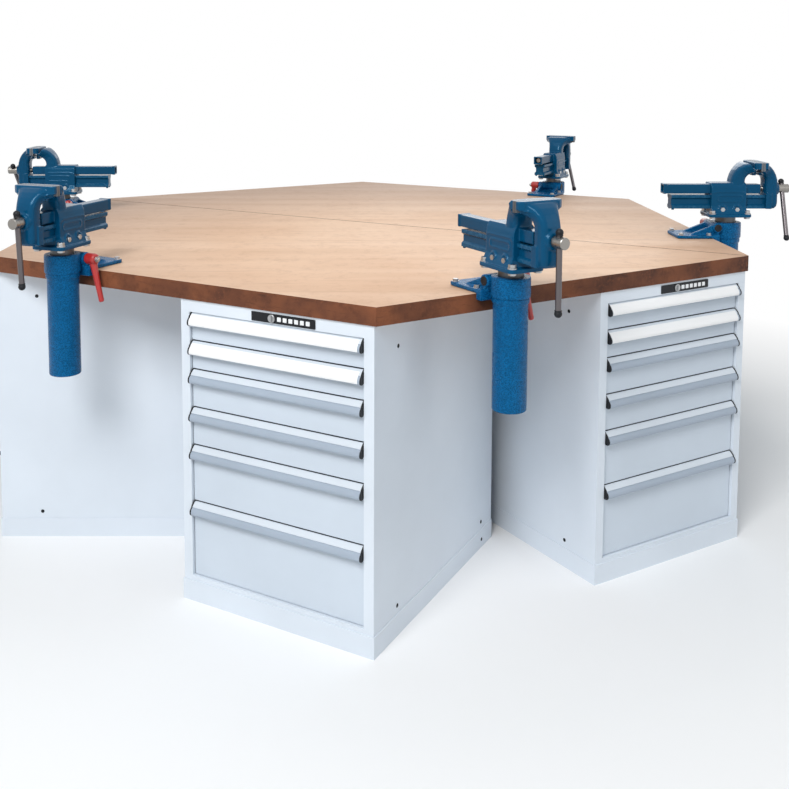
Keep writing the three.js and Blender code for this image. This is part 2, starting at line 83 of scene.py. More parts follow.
class Graph:
    """Adds and links shader nodes in one node tree."""

    MIX_COLOUR_INPUTS = (0, 6, 7)
    MIX_COLOUR_OUTPUT = 2

    def __init__(self, tree: bpy.types.NodeTree) -> None:
        """Starts on a node tree.

        Args:
            tree: The tree that new nodes go into.
        """
        self.tree = tree

    def node(self, kind: str, inputs: dict | None = None, **settings: object) -> bpy.types.Node:
        """Adds a node.

        Args:
            kind: The node's type name without its ShaderNode prefix.
            inputs: Values or output sockets by input name or number.
            settings: Properties of the node itself.

        Returns:
            The new node.
        """
        made = self.tree.nodes.new("ShaderNode" + kind)
        for name, value in settings.items():
            setattr(made, name, value)
        for name, value in (inputs or {}).items():
            self.feed(made.inputs[name], value)
        return made

    def feed(self, socket: bpy.types.NodeSocket, value: object) -> None:
        """Links a socket to an output, or sets its value.

        Args:
            socket: The input socket.
            value: An output socket or a plain value.
        """
        if isinstance(value, bpy.types.NodeSocket):
            self.tree.links.new(value, socket)
        elif isinstance(value, tuple) and len(value) == 3 and socket.type == "RGBA":
            socket.default_value = (*value, 1.0)
        else:
            socket.default_value = value

    def noise(self, vector: object, scale: float, detail: float = 3.0, roughness: float = 0.5) -> object:
        """Adds a noise texture.

        Args:
            vector: Coordinates of the texture.
            scale: Features per metre.
            detail: Octaves of finer noise.
            roughness: Strength of the finer octaves.

        Returns:
            The noise value's socket.
        """
        made = self.node("TexNoise", {"Vector": vector, "Scale": scale, "Detail": detail,
                                      "Roughness": roughness})
        return made.outputs["Fac"]

    def stretched(self, vector: object, factors: Colour) -> object:
        """Scales coordinates axis by axis.

        Args:
            vector: Coordinates.
            factors: One factor for each axis.

        Returns:
            The scaled coordinates' socket.
        """
        made = self.node("VectorMath", {0: vector, 1: factors}, operation="MULTIPLY")
        return made.outputs["Vector"]

    def spread(self, value: object, low: float, high: float, to_low: float = 0.0,
               to_high: float = 1.0) -> object:
        """Maps a value's range onto another, clamped.

        Args:
            value: The value's socket.
            low: Start of the range.
            high: End of the range.
            to_low: Result at the start.
            to_high: Result at the end.

        Returns:
            The mapped value's socket.
        """
        made = self.node("MapRange", {"Value": value, "From Min": low, "From Max": high,
                                      "To Min": to_low, "To Max": to_high})
        return made.outputs["Result"]

    def math(self, operation: str, first: object, second: object) -> object:
        """Combines two values.

        Args:
            operation: The math node's operation.
            first: First value.
            second: Second value.

        Returns:
            The result's socket.
        """
        return self.node("Math", {0: first, 1: second}, operation=operation).outputs["Value"]

    def mix(self, factor: object, first: object, second: object) -> object:
        """Mixes two colours.

        Args:
            factor: Share of the second colour.
            first: First colour.
            second: Second colour.

        Returns:
            The mixed colour's socket.
        """
        made = self.tree.nodes.new("ShaderNodeMix")
        made.data_type = "RGBA"
        for number, value in zip(self.MIX_COLOUR_INPUTS, (factor, first, second)):
            self.feed(made.inputs[number], value)
        return made.outputs[self.MIX_COLOUR_OUTPUT]

    def seen(self) -> object:
        """Tells rays that see a surface, directly, in a reflection or through glass, from rays that light it.

        Returns:
            A socket that is 1 for the rays that see.
        """
        rays = self.node("LightPath").outputs
        either = self.math("MAXIMUM", rays["Is Camera Ray"], rays["Is Glossy Ray"])
        return self.math("MAXIMUM", either, rays["Is Transmission Ray"])


class Effects:
    """Shader node groups that several finishes share, each made once."""

    SPECKLE = "paint_speckle"
    WEAR_AND_HIGHLIGHT = "edge_wear"
    STREAK = "brushed_streak"

    @staticmethod
    def _group(name: str, inputs: Iterable[tuple[str, str]], outputs: Iterable[tuple[str, str]]) -> tuple:
        """Makes an empty group with its sockets.

        Args:
            name: The group's name.
            inputs: Name and socket type of each input.
            outputs: Name and socket type of each output.

        Returns:
            The group, its graph, its input node and its output node.
        """
        group = bpy.data.node_groups.new(name, "ShaderNodeTree")
        for label, kind in inputs:
            group.interface.new_socket(label, in_out="INPUT", socket_type=kind)
        for label, kind in outputs:
            group.interface.new_socket(label, in_out="OUTPUT", socket_type=kind)
        graph = Graph(group)
        entry = group.nodes.new("NodeGroupInput")
        leave = group.nodes.new("NodeGroupOutput")
        return group, graph, entry, leave

    @classmethod
    def speckle(cls) -> bpy.types.NodeTree:
        """Fine pebbling of a sprayed coat, with a slow drift of tone.

        Returns:
            The node group.
        """
        if cls.SPECKLE in bpy.data.node_groups:
            return bpy.data.node_groups[cls.SPECKLE]
        group, graph, entry, leave = cls._group(
            cls.SPECKLE, [("Vector", "NodeSocketVector"), ("Scale", "NodeSocketFloat")],
            [("Drift", "NodeSocketFloat"), ("Height", "NodeSocketFloat")])
        fine = graph.node("TexNoise", {"Vector": entry.outputs["Vector"], "Scale": entry.outputs["Scale"],
                                       "Detail": 2.0})
        drift = graph.noise(entry.outputs["Vector"], 3.0, 4.0)
        graph.feed(leave.inputs["Drift"], graph.spread(drift, 0.3, 0.7))
        graph.feed(leave.inputs["Height"], fine.outputs["Fac"])
        return group

    @classmethod
    def wear_and_highlight(cls) -> bpy.types.NodeTree:
        """Lighter outer edges, broken up by noise; on the vice enamel they are painted highlight, the light
        caught along its edges and beads.

        Returns:
            The node group.
        """
        if cls.WEAR_AND_HIGHLIGHT in bpy.data.node_groups:
            return bpy.data.node_groups[cls.WEAR_AND_HIGHLIGHT]
        group, graph, entry, leave = cls._group(
            cls.WEAR_AND_HIGHLIGHT, [("Vector", "NodeSocketVector"), ("Amount", "NodeSocketFloat")],
            [("Mask", "NodeSocketFloat")])
        pointed = graph.node("NewGeometry").outputs["Pointiness"]
        edges = graph.spread(pointed, 0.52, 0.62)
        broken = graph.spread(graph.noise(entry.outputs["Vector"], 140.0, 5.0, 0.65), 0.42, 0.62)
        rubbed = graph.math("MULTIPLY", edges, broken)
        graph.feed(leave.inputs["Mask"], graph.math("MULTIPLY", rubbed, entry.outputs["Amount"]))
        return group

    @classmethod
    def streak(cls) -> bpy.types.NodeTree:
        """Long fine lines of brushing, drawing or grain; the coordinates set their direction.

        Returns:
            The node group.
        """
        if cls.STREAK in bpy.data.node_groups:
            return bpy.data.node_groups[cls.STREAK]
        group, graph, entry, leave = cls._group(
            cls.STREAK, [("Vector", "NodeSocketVector"), ("Scale", "NodeSocketFloat")],
            [("Lines", "NodeSocketFloat"), ("Bands", "NodeSocketFloat")])
        lines = graph.node("TexNoise", {"Vector": entry.outputs["Vector"], "Scale": entry.outputs["Scale"],
                                        "Detail": 5.0, "Roughness": 0.6})
        wide = graph.math("MULTIPLY", entry.outputs["Scale"], 0.2)
        bands = graph.node("TexNoise", {"Vector": entry.outputs["Vector"], "Scale": wide, "Detail": 3.0})
        graph.feed(leave.inputs["Lines"], lines.outputs["Fac"])
        graph.feed(leave.inputs["Bands"], bands.outputs["Fac"])
        return group


@dataclass(frozen=True)
class Finish:
    """A surface finish, made as a material the first time that it is used."""

    name: str
    colour: Colour
    roughness: float

    def material(self) -> bpy.types.Material:
        """Gives the finish's material.

        Returns:
            The material, new or as made before.
        """
        known = bpy.data.materials.get(self.name)
        if known:
            return known
        made = bpy.data.materials.new(self.name)
        made.use_nodes = True
        made.diffuse_color = (*self.colour, 1.0)
        graph = Graph(made.node_tree)
        shader = made.node_tree.nodes["Principled BSDF"]
        vector = graph.node("TexCoord").outputs["Object"]
        self.dress(graph, shader, vector)
        return made

    def dress(self, graph: Graph, shader: bpy.types.Node, vector: object) -> None:
        """Feeds the shader; each kind of finish has its own way.

        Args:
            graph: The material's graph.
            shader: Its Principled BSDF.
            vector: Coordinates in the piece's own axes.
        """
        raise NotImplementedError

    def group(self, graph: Graph, tree: bpy.types.NodeTree, inputs: dict) -> bpy.types.Node:
        """Places a shared effect in the material.

        Args:
            graph: The material's graph.
            tree: The effect's node group.
            inputs: Its input values.

        Returns:
            The group node.
        """
        made = graph.node("Group", node_tree=tree)
        for name, value in inputs.items():
            graph.feed(made.inputs[name], value)
        return made

    def bump(self, graph: Graph, shader: bpy.types.Node, height: object, strength: float,
             depth: float) -> None:
        """Adds surface relief.

        Args:
            graph: The material's graph.
            shader: The shader that takes the normal.
            height: The height's socket.
            strength: Share of the relief that shows.
            depth: The relief's depth in metres.
        """
        made = graph.node("Bump", {"Height": height, "Strength": strength, "Distance": depth})
        graph.feed(shader.inputs["Normal"], made.outputs["Normal"])


@dataclass(frozen=True)
class Coat(Finish):
    """A sprayed or brushed coat on metal, or moulded plastic: pebbled, uneven, with lighter outer edges; on
    the vice enamel those are painted highlight.
    """

    pebble: float = 900.0
    relief: float = 0.08
    depth: float = 0.0004
    drift: float = 0.04
    # Share and colour of the lighter outer edges; on the vice enamel these paint highlight along the edges.
    wear_and_highlight: float = 0.0
    under: Colour = (0.45, 0.45, 0.46)
    clear: float = 0.0
    clear_roughness: float = 0.12
    shine: float = 0.5
    tint: Colour = WHITE

    def dress(self, graph: Graph, shader: bpy.types.Node, vector: object) -> None:
        """Feeds the shader with the coat.

        Args:
            graph: The material's graph.
            shader: Its Principled BSDF.
            vector: Coordinates in the piece's own axes.
        """
        texture = self.group(graph, Effects.speckle(), {"Vector": vector, "Scale": self.pebble})
        dark = tuple(c * (1 - self.drift) for c in self.colour)
        light = tuple(min(1.0, c * (1 + self.drift)) for c in self.colour)
        coat = graph.mix(texture.outputs["Drift"], dark, light)
        # Lighter outer edges: painted highlight on the vice enamel.
        if self.wear_and_highlight > 0:
            lighter_edges = self.group(graph, Effects.wear_and_highlight(), {"Vector": vector, "Amount": self.wear_and_highlight})
            coat = graph.mix(lighter_edges.outputs["Mask"], coat, self.under)
        graph.feed(shader.inputs["Base Color"], coat)
        rough = graph.spread(texture.outputs["Drift"], 0.0, 1.0, self.roughness - 0.04, self.roughness + 0.05)
        graph.feed(shader.inputs["Roughness"], rough)
        shader.inputs["Coat Weight"].default_value = self.clear
        shader.inputs["Coat Roughness"].default_value = self.clear_roughness
        shader.inputs["Specular IOR Level"].default_value = self.shine
        shader.inputs["Specular Tint"].default_value = (*self.tint, 1.0)
        self.bump(graph, shader, texture.outputs["Height"], self.relief, self.depth)


@dataclass(frozen=True)
class Hammered(Finish):
    """Hammered enamel: shallow dimples with brighter rims between them."""

    rim: Colour = (0.5, 0.5, 0.5)
    cell: float = 380.0
    relief: float = 0.8
    depth: float = 0.0012
    grit: float = 0.25
    rim_starts: float = 0.3
    rim_full: float = 0.62
    dimple_tone: float = 0.84
    shine: float = 0.3
    tint: Colour = (0.12, 0.62, 1.0)

    def dress(self, graph: Graph, shader: bpy.types.Node, vector: object) -> None:
        """Feeds the shader with the hammered enamel.

        Args:
            graph: The material's graph.
            shader: Its Principled BSDF.
            vector: Coordinates in the piece's own axes.
        """
        cells = graph.node("TexVoronoi", {"Vector": vector, "Scale": self.cell, "Smoothness": 0.6},
                           feature="SMOOTH_F1").outputs["Distance"]
        texture = self.group(graph, Effects.speckle(), {"Vector": vector, "Scale": self.cell * 2})
        rims = graph.spread(cells, self.rim_starts, self.rim_full)
        deep = tuple(c * self.dimple_tone for c in self.colour)
        graph.feed(shader.inputs["Base Color"], graph.mix(rims, deep, self.rim))
        rough = graph.spread(texture.outputs["Drift"], 0.0, 1.0, self.roughness - 0.05, self.roughness + 0.06)
        graph.feed(shader.inputs["Roughness"], rough)
        shader.inputs["Specular IOR Level"].default_value = self.shine
        shader.inputs["Specular Tint"].default_value = (*self.tint, 1.0)
        height = graph.math("MULTIPLY_ADD", texture.outputs["Height"], self.grit)
        graph.feed(height.node.inputs[2], rims)
        self.bump(graph, shader, height, self.relief, self.depth)


@dataclass(frozen=True)
class Metal(Finish):
    """Bare metal with the fine lines of drawing, turning or brushing."""

    grain: Colour = (1.0, 1.0, 1.0)
    lines: float = 300.0
    contrast: float = 0.12
    relief: float = 0.06
    depth: float = 0.0002

    def dress(self, graph: Graph, shader: bpy.types.Node, vector: object) -> None:
        """Feeds the shader with the metal.

        Args:
            graph: The material's graph.
            shader: Its Principled BSDF.
            vector: Coordinates in the piece's own axes.
        """
        along = graph.stretched(vector, self.grain)
        streak = self.group(graph, Effects.streak(), {"Vector": along, "Scale": self.lines})
        dark = tuple(c * (1 - self.contrast) for c in self.colour)
        tone = graph.mix(graph.spread(streak.outputs["Bands"], 0.3, 0.7), dark, self.colour)
        graph.feed(shader.inputs["Base Color"], tone)
        shader.inputs["Metallic"].default_value = 1.0
        rough = graph.spread(streak.outputs["Lines"], 0.3, 0.7, self.roughness - 0.06, self.roughness + 0.1)
        graph.feed(shader.inputs["Roughness"], rough)
        self.bump(graph, shader, streak.outputs["Lines"], self.relief, self.depth)


@dataclass(frozen=True)
class Timber(Finish):
    """Oiled beech: long soft streaks, short dark flecks, a slow drift of tone and, where a rim colour is
    given, painted shade that darkens it away from a centre point.
    """

    dark: Colour = (0.4, 0.25, 0.15)
    warm: Colour = (0.8, 0.55, 0.35)
    grain: Colour = (0.05, 1.0, 1.0)
    lines: float = 55.0
    flecks: float = 0.5
    mottle: float = 2.2
    shine: float = 0.5
    clear: float = 0.08
    clear_roughness: float = 0.35
    relief: float = 0.12
    depth: float = 0.0004
    patches: float = 0.0
    patch_ratio: float = 14.0
    fleck_ratio: float = 9.0
    banding: float = 0.2
    stains: float = 0.1
    stain_scale: float = 22.0
    # The rim colour and the three settings after it paint shade: the face darkens towards the rim colour with
    # distance from a centre point, standing in for light that falls off away from the middle of the worktop.
    rim: Colour | None = None
    painted_shade_centre: Colour = (0.2, -0.45, 0.0)
    rim_starts: float = 0.6
    rim_full: float = 1.5

    def dress(self, graph: Graph, shader: bpy.types.Node, vector: object) -> None:
        """Feeds the shader with the wood.

        Args:
            graph: The material's graph.
            shader: Its Principled BSDF.
            vector: Coordinates in the piece's own axes.
        """
        along = graph.stretched(vector, self.grain)
        streak = self.group(graph, Effects.streak(), {"Vector": along, "Scale": self.lines})
        drift = graph.spread(graph.noise(vector, self.mottle, 3.0), 0.32, 0.68)
        fine = graph.noise(vector, self.mottle * self.patch_ratio, 6.0, 0.7)
        blotch = graph.spread(fine, 0.45, 0.75, 0.0, self.patches)
        tone = graph.math("MAXIMUM", drift, blotch)
        base = graph.mix(tone, self.colour, self.warm)
        # Painted shade: the face darkens with distance from the centre, where less light falls.
        if self.rim:
            offset = graph.node("VectorMath", {0: vector, 1: self.painted_shade_centre}, operation="SUBTRACT")
            flat = graph.stretched(offset.outputs["Vector"], (1.0, 1.0, 0.0))
            reach = graph.node("VectorMath", {0: flat}, operation="LENGTH").outputs["Value"]
            base = graph.mix(graph.spread(reach, self.rim_starts, self.rim_full), base, self.rim)
        bands = graph.spread(streak.outputs["Bands"], 0.38, 0.7, 0.0, self.banding)
        banded = graph.mix(bands, base, self.dark)
        pores = graph.spread(streak.outputs["Lines"], 0.58, 0.72, 0.0, self.flecks)
        fleck_place = graph.stretched(vector, tuple(g * self.fleck_ratio for g in self.grain))
        fleck = graph.spread(graph.noise(fleck_place, self.lines, 2.0), 0.66, 0.74, 0.0, self.flecks)
        stain = graph.spread(graph.noise(vector, self.stain_scale, 8.0, 0.78), 0.5, 0.7, 0.0, self.stains)
        marks = graph.math("MAXIMUM", graph.math("MAXIMUM", pores, fleck), stain)
        graph.feed(shader.inputs["Base Color"], graph.mix(marks, banded, self.dark))
        rough = graph.spread(streak.outputs["Bands"], 0.3, 0.7, self.roughness - 0.05, self.roughness + 0.08)
        graph.feed(shader.inputs["Roughness"], rough)
        shader.inputs["Specular IOR Level"].default_value = self.shine
        shader.inputs["Coat Weight"].default_value = self.clear
        shader.inputs["Coat Roughness"].default_value = self.clear_roughness
        self.bump(graph, shader, streak.outputs["Lines"], self.relief, self.depth)


# The face's rim colour is painted shade, darker towards the outer parts of the top.
WORKTOP_FACE = Timber("oiled_beech_face", (0.82, 0.575, 0.405), 0.5, dark=(0.36, 0.19, 0.115),
                      warm=(0.71, 0.455, 0.295), mottle=1.7, patches=0.6, shine=0.1, clear=0.0, banding=0.12,
                      flecks=0.3, stains=0.3, rim=(0.56, 0.395, 0.295))
WORKTOP_EDGE = Timber("oiled_beech_edge", (0.078, 0.032, 0.021), 0.5, dark=(0.024, 0.012, 0.010),
                      warm=(0.245, 0.085, 0.038), grain=(0.15, 0.15, 1.0), lines=120.0, mottle=9.0,
                      patches=0.9, stains=0.5, shine=0.15, clear=0.0)
# Dark finish at the seam between the halves: painted shade of the narrow joint.
WORKTOP_SEAM_SHADE = Timber("oiled_beech_painted_seam_shade", (0.16, 0.085, 0.055), 0.6, dark=(0.09, 0.045, 0.03),
                      warm=(0.2, 0.11, 0.07), shine=0.2, clear=0.0)
HOUSING_COAT = Coat("housing_powder_coat", (0.70, 0.755, 0.82), 0.46, shine=0.2)
FRONT_COAT = Coat("front_powder_coat", (0.60, 0.665, 0.74), 0.44, shine=0.2)
BOX_COAT = Coat("drawer_box_coat", (0.52, 0.56, 0.60), 0.45)
# The handle is one piece of anodised aluminium shown in two copies of its colour: the lighter one on the
# upward-facing top strip is painted highlight where light falls, the darker one is the lower face.
HANDLE_METAL = Coat("handle_anodised", (0.37, 0.43, 0.51), 0.34, pebble=1800.0, relief=0.01, drift=0.05,
                    shine=0.3)
HANDLE_LIT_STRIP = Coat("handle_top_strip_painted_highlight", (0.66, 0.71, 0.765), 0.34, pebble=1800.0, relief=0.01, shine=0.3)
LABEL_PAPER = Coat("label_paper", (0.88, 0.88, 0.88), 0.5, pebble=2500.0, relief=0.03, drift=0.02)
# Black plastic of caps, plugs, knobs and the lock plate; the drawers' black gap strips also use it, as
# painted shade.
BLACK_PLASTIC_AND_GAP_SHADE = Coat("black_plastic_and_gap_shade", (0.009, 0.010, 0.013), 0.46, pebble=1600.0, relief=0.1, drift=0.1,
                     shine=0.25)
KEY_PLASTIC = Coat("key_plastic", (0.80, 0.81, 0.82), 0.45, pebble=1500.0, relief=0.05)
LIFT_ENAMEL = Hammered("lift_hammered_enamel", (0.001, 0.063, 0.178), 0.26, rim=(0.005, 0.119, 0.305))
# The vice enamel's lighter outer edges are painted highlight, light caught along its edges and beads.
VICE_ENAMEL = Coat("vice_gloss_enamel", (0.001, 0.060, 0.142), 0.2, pebble=220.0, relief=0.25, depth=0.0008,
                   drift=0.16, wear_and_highlight=0.7, under=(0.05, 0.20, 0.34), clear=0.15, shine=0.17,
                   tint=(0.2, 0.66, 1.0))
SPINDLE_STEEL = Metal("spindle_turned_steel", (0.31, 0.295, 0.275), 0.3, grain=(1.0, 0.06, 0.06), lines=600.0)
BAR_STEEL = Metal("bar_drawn_steel", (0.155, 0.142, 0.148), 0.3, grain=(1.0, 1.0, 0.004), lines=350.0,
                  contrast=0.1, relief=0.02)
JAW_STEEL = Metal("jaw_ground_steel", (0.16, 0.17, 0.185), 0.4, grain=(1.0, 0.04, 1.0), lines=500.0)
POST_STEEL = Metal("post_ground_steel", (0.11, 0.115, 0.12), 0.34, grain=(0.06, 0.06, 1.0), lines=500.0)
ZINC = Metal("zinc_plated_steel", (0.47, 0.48, 0.49), 0.32, lines=250.0)
LEVER_RED = Coat("lever_red_enamel", (0.42, 0.020, 0.018), 0.33, pebble=400.0, relief=0.05, drift=0.08,
                 wear_and_highlight=0.3, under=(0.6, 0.25, 0.22), clear=0.3)


# Mesh tools: every shape is a bmesh in millimetres


def prism(points: Iterable[Point], start: float, end: float, axis: Axis) -> bmesh.types.BMesh:
    """Pulls a flat outline along an axis.

    Args:
        points: The outline, in (v, z), (u, z) or (u, v) for pulling along U, V or Z.
        start: Where the solid starts on the axis.
        end: Where it ends.
        axis: The axis.

    Returns:
        A closed shape.
    """
    def corner(a: float, b: float, along: float) -> Point:
        """Puts an outline's point at a place along the axis."""
        return {Axis.U: (along, a, b), Axis.V: (a, along, b), Axis.Z: (a, b, along)}[axis]

    shape = bmesh.new()
    outline = list(points)
    low = [shape.verts.new(corner(a, b, start)) for a, b in outline]
    high = [shape.verts.new(corner(a, b, end)) for a, b in outline]
    shape.faces.new(low)
    shape.faces.new(high)
    for i in range(len(outline)):
        j = (i + 1) % len(outline)
        shape.faces.new((low[i], low[j], high[j], high[i]))
    bmesh.ops.recalc_face_normals(shape, faces=shape.faces)
    return shape


def lofted(outlines: Sequence[Sequence[Point]]) -> bmesh.types.BMesh:
    """Skins a row of outlines that have the same number of points, and closes both ends.

    Args:
        outlines: The outlines' points, in (u, v, z).

    Returns:
        A closed shape.
    """
    shape = bmesh.new()
    rings = [[shape.verts.new(point) for point in outline] for outline in outlines]
    for low, high in zip(rings, rings[1:]):
        for k in range(len(low)):
            j = (k + 1) % len(low)
            shape.faces.new((low[k], low[j], high[j], high[k]))
    shape.faces.new(rings[0])
    shape.faces.new(rings[-1])
    bmesh.ops.recalc_face_normals(shape, faces=shape.faces)
    return shape


def block(low: Point, high: Point) -> bmesh.types.BMesh:
    """Makes a box between two corners."""
    outline = [(low[0], low[1]), (high[0], low[1]), (high[0], high[1]), (low[0], high[1])]
    return prism(outline, low[2], high[2], Axis.Z)


def turned(profile: Sequence[Point], segments: int, axis: Axis = Axis.Z) -> bmesh.types.BMesh:
    """Turns a profile of (radius, height) points about an axis through the origin.

    Args:
        profile: The profile; it starts and ends on the axis or closes on itself.
        segments: Faces round the axis.
        axis: The axis that height runs along.

    Returns:
        A closed shape.
    """
    shape = bmesh.new()
    rings = []
    for radius, height in profile:
        count = segments if radius > 0 else 1
        ring = []
        for i in range(count):
            angle = 2 * math.pi * i / segments
            a, b = radius * math.cos(angle), radius * math.sin(angle)
            ring.append(shape.verts.new({Axis.U: (height, a, b), Axis.V: (b, height, a),
                                         Axis.Z: (a, b, height)}[axis]))
        rings.append(ring)
    closed = profile[0][0] > 0
    pairs = zip(rings, rings[1:] + ([rings[0]] if closed else []))
    for low, high in pairs:
        for i in range(segments):
            j = (i + 1) % segments
            corners = [low[i % len(low)], low[j % len(low)], high[j % len(high)], high[i % len(high)]]
            distinct = list(dict.fromkeys(corners))
            if len(distinct) > 2:
                shape.faces.new(distinct)
    bmesh.ops.recalc_face_normals(shape, faces=shape.faces)
    return shape


def moved(shape: bmesh.types.BMesh, matrix: Matrix) -> bmesh.types.BMesh:
    """Moves a shape in place and hands it back."""
    bmesh.ops.transform(shape, matrix=matrix, verts=shape.verts)
    return shape


def shifted(shape: bmesh.types.BMesh, u: float, v: float, z: float) -> bmesh.types.BMesh:
    """Shifts a shape in place and hands it back."""
    return moved(shape, Matrix.Translation((u, v, z)))


def softened(shape: bmesh.types.BMesh, width: float, segments: int = 2) -> bmesh.types.BMesh:
    """Rounds the sharp edges of a shape.

    Args:
        shape: The shape, changed in place.
        width: Width of the rounding.
        segments: Faces across the rounding.

    Returns:
        The same shape.
    """
    bmesh.ops.dissolve_limit(shape, angle_limit=math.radians(1), verts=shape.verts, edges=shape.edges)
    edges = [e for e in shape.edges if len(e.link_faces) == 2 and e.calc_face_angle(0) > SHARP_ANGLE]
    bmesh.ops.bevel(shape, geom=edges, offset=width, segments=segments, profile=0.5, affect="EDGES",
                    clamp_overlap=True)
    return shape


def arc(centre: Point, radius: float, start: float, end: float, steps: int) -> list[Point]:
    """Gives points along an arc.

    Args:
        centre: The arc's centre.
        radius: Its radius.
        start: Start angle in degrees.
        end: End angle in degrees.
        steps: Straight stretches that it is made of.

    Returns:
        The points, both ends included.
    """
    angles = [math.radians(start + (end - start) * i / steps) for i in range(steps + 1)]
    return [(centre[0] + radius * math.cos(t), centre[1] + radius * math.sin(t)) for t in angles]


def rounded_outline(half_a: float, half_b: float, radius: float, centre: Point = (0.0, 0.0)) -> list[Point]:
    """Gives the outline of a rectangle with round corners.

    Args:
        half_a: Half its first side.
        half_b: Half its second side.
        radius: Corner radius.
        centre: Its centre.

    Returns:
        The outline's points.
    """
    points: list[Point] = []
    corners = ((1, 1, 0), (-1, 1, 90), (-1, -1, 180), (1, -1, 270))
    for side_a, side_b, start in corners:
        middle = (centre[0] + side_a * (half_a - radius), centre[1] + side_b * (half_b - radius))
        points += arc(middle, radius, start, start + 90, 5)
    return points


def swept(stations: Sequence[tuple[Vector, Vector, float]], corners: int = 20,
          squareness: float = 0.55) -> bmesh.types.BMesh:
    """Makes a bar with rounded edges that follows a bend in the (u, z) plane.

    Args:
        stations: Inner point, outer point and half width along v of each cross-section.
        corners: Points round a cross-section.
        squareness: Power that turns a circle into a cross-section: 1 is round, 0 is square.

    Returns:
        A closed shape.
    """
    rings = []
    for near, far, half in stations:
        ring = []
        for k in range(corners):
            angle = 2 * math.pi * k / corners
            a = math.copysign(abs(math.cos(angle)) ** squareness, math.cos(angle))
            b = math.copysign(abs(math.sin(angle)) ** squareness, math.sin(angle))
            middle = (near + far) / 2 + (far - near) / 2 * a
            ring.append((middle.x, half * b, middle.y))
        rings.append(ring)
    return lofted(rings)


def bead(points: Sequence[Vector], radius: float) -> list[bmesh.types.BMesh]:
    """Makes a round bead along a path, as short rods for a casting.

    Args:
        points: The path.
        radius: The bead's radius.

    Returns:
        The rods.
    """
    rods = []
    for start, end in zip(points, points[1:]):
        along = end - start
        rod = turned([(0, -radius), (radius * 0.7, -radius * 0.7), (radius, 0), (radius, along.length),
                      (radius * 0.7, along.length + radius * 0.7), (0, along.length + radius)], 8)
        turn = along.to_track_quat("Z", "Y").to_matrix().to_4x4()
        rods.append(moved(rod, Matrix.Translation(start) @ turn))
    return rods


def hexagon(across: float, low: float, high: float, axis: Axis = Axis.Z) -> bmesh.types.BMesh:
    """Makes a bolt head or nut with eased corners.

    Args:
        across: Width across its flats.
        low: Where it starts on its axis.
        high: Where it ends.
        axis: Its axis.

    Returns:
        A closed shape.
    """
    radius = across / math.sqrt(3)
    return softened(prism(arc((0, 0), radius, 0, 300, 5), low, high, axis), across * 0.05)


class Casting:
    """Joins overlapping shapes into one skin with soft inner and outer corners, as cast iron has."""

    def __init__(self, voxel: float, keep: float, rounds: int = 4) -> None:
        """Sets how fine the skin is.

        Args:
            voxel: Size of the cells that the skin is made from.
            keep: Share of its faces that is kept.
            rounds: Rounds of smoothing.
        """
        self.voxel = voxel
        self.keep = keep
        self.rounds = rounds

    def cast(self, shapes: Iterable[bmesh.types.BMesh]) -> bmesh.types.BMesh:
        """Casts the shapes.

        Args:
            shapes: Closed shapes that overlap.

        Returns:
            One closed skin.
        """
        rough = bpy.data.meshes.new("rough_casting")
        whole = bmesh.new()
        for shape in shapes:
            append(whole, shape)
        whole.to_mesh(rough)
        whole.free()
        holder = bpy.data.objects.new("rough_casting", rough)
        bpy.context.scene.collection.objects.link(holder)
        remesh = holder.modifiers.new("skin", "REMESH")
        remesh.mode = "VOXEL"
        remesh.voxel_size = self.voxel
        smooth = holder.modifiers.new("soft", "SMOOTH")
        smooth.factor = 0.5
        smooth.iterations = self.rounds
        thin = holder.modifiers.new("thin", "DECIMATE")
        thin.ratio = self.keep
        graph = bpy.context.evaluated_depsgraph_get()
        skin = bmesh.new()
        skin.from_mesh(holder.evaluated_get(graph).to_mesh())
        bpy.data.objects.remove(holder)
        bpy.data.meshes.remove(rough)
        return skin


def append(whole: bmesh.types.BMesh, shape: bmesh.types.BMesh) -> None:
    """Copies a shape into another mesh and frees it.

    Args:
        whole: The mesh that grows.
        shape: The shape, used up.
    """
    carrier = bpy.data.meshes.new("carrier")
    shape.to_mesh(carrier)
    shape.free()
    whole.from_mesh(carrier)
    bpy.data.meshes.remove(carrier)


LIFT_SKIN = Casting(2.0, 0.35, 5)
LEVER_SKIN = Casting(1.1, 0.3, 6)
VICE_SKIN = Casting(1.7, 0.4, 3)


class Piece:
    """A visible piece under construction: shapes in millimetres, each with its finish."""

    def __init__(self, name: str) -> None:
        """Starts an empty piece.

        Args:
            name: The piece's name.
        """
        self.name = name
        self.mesh = bmesh.new()
        self.finishes: list[Finish] = []

    def add(self, shape: bmesh.types.BMesh, finish: Finish) -> None:
        """Adds a shape.

        Args:
            shape: The shape, used up.
            finish: The finish of all its faces.
        """
        if finish not in self.finishes:
            self.finishes.append(finish)
        index = self.finishes.index(finish)
        for face in shape.faces:
            face.material_index = index
            face.smooth = True
        append(self.mesh, shape)

    def skin(self) -> bpy.types.Mesh:
        """Finishes the mesh in metres.

        Returns:
            The mesh with its materials.
        """
        bmesh.ops.scale(self.mesh, vec=(MM, MM, MM), verts=self.mesh.verts)
        mesh = bpy.data.meshes.new(self.name)
        self.mesh.to_mesh(mesh)
        self.mesh.free()
        for finish in self.finishes:
            mesh.materials.append(finish.material())
        mesh.set_sharp_from_angle(angle=SHARP_ANGLE)
        return mesh


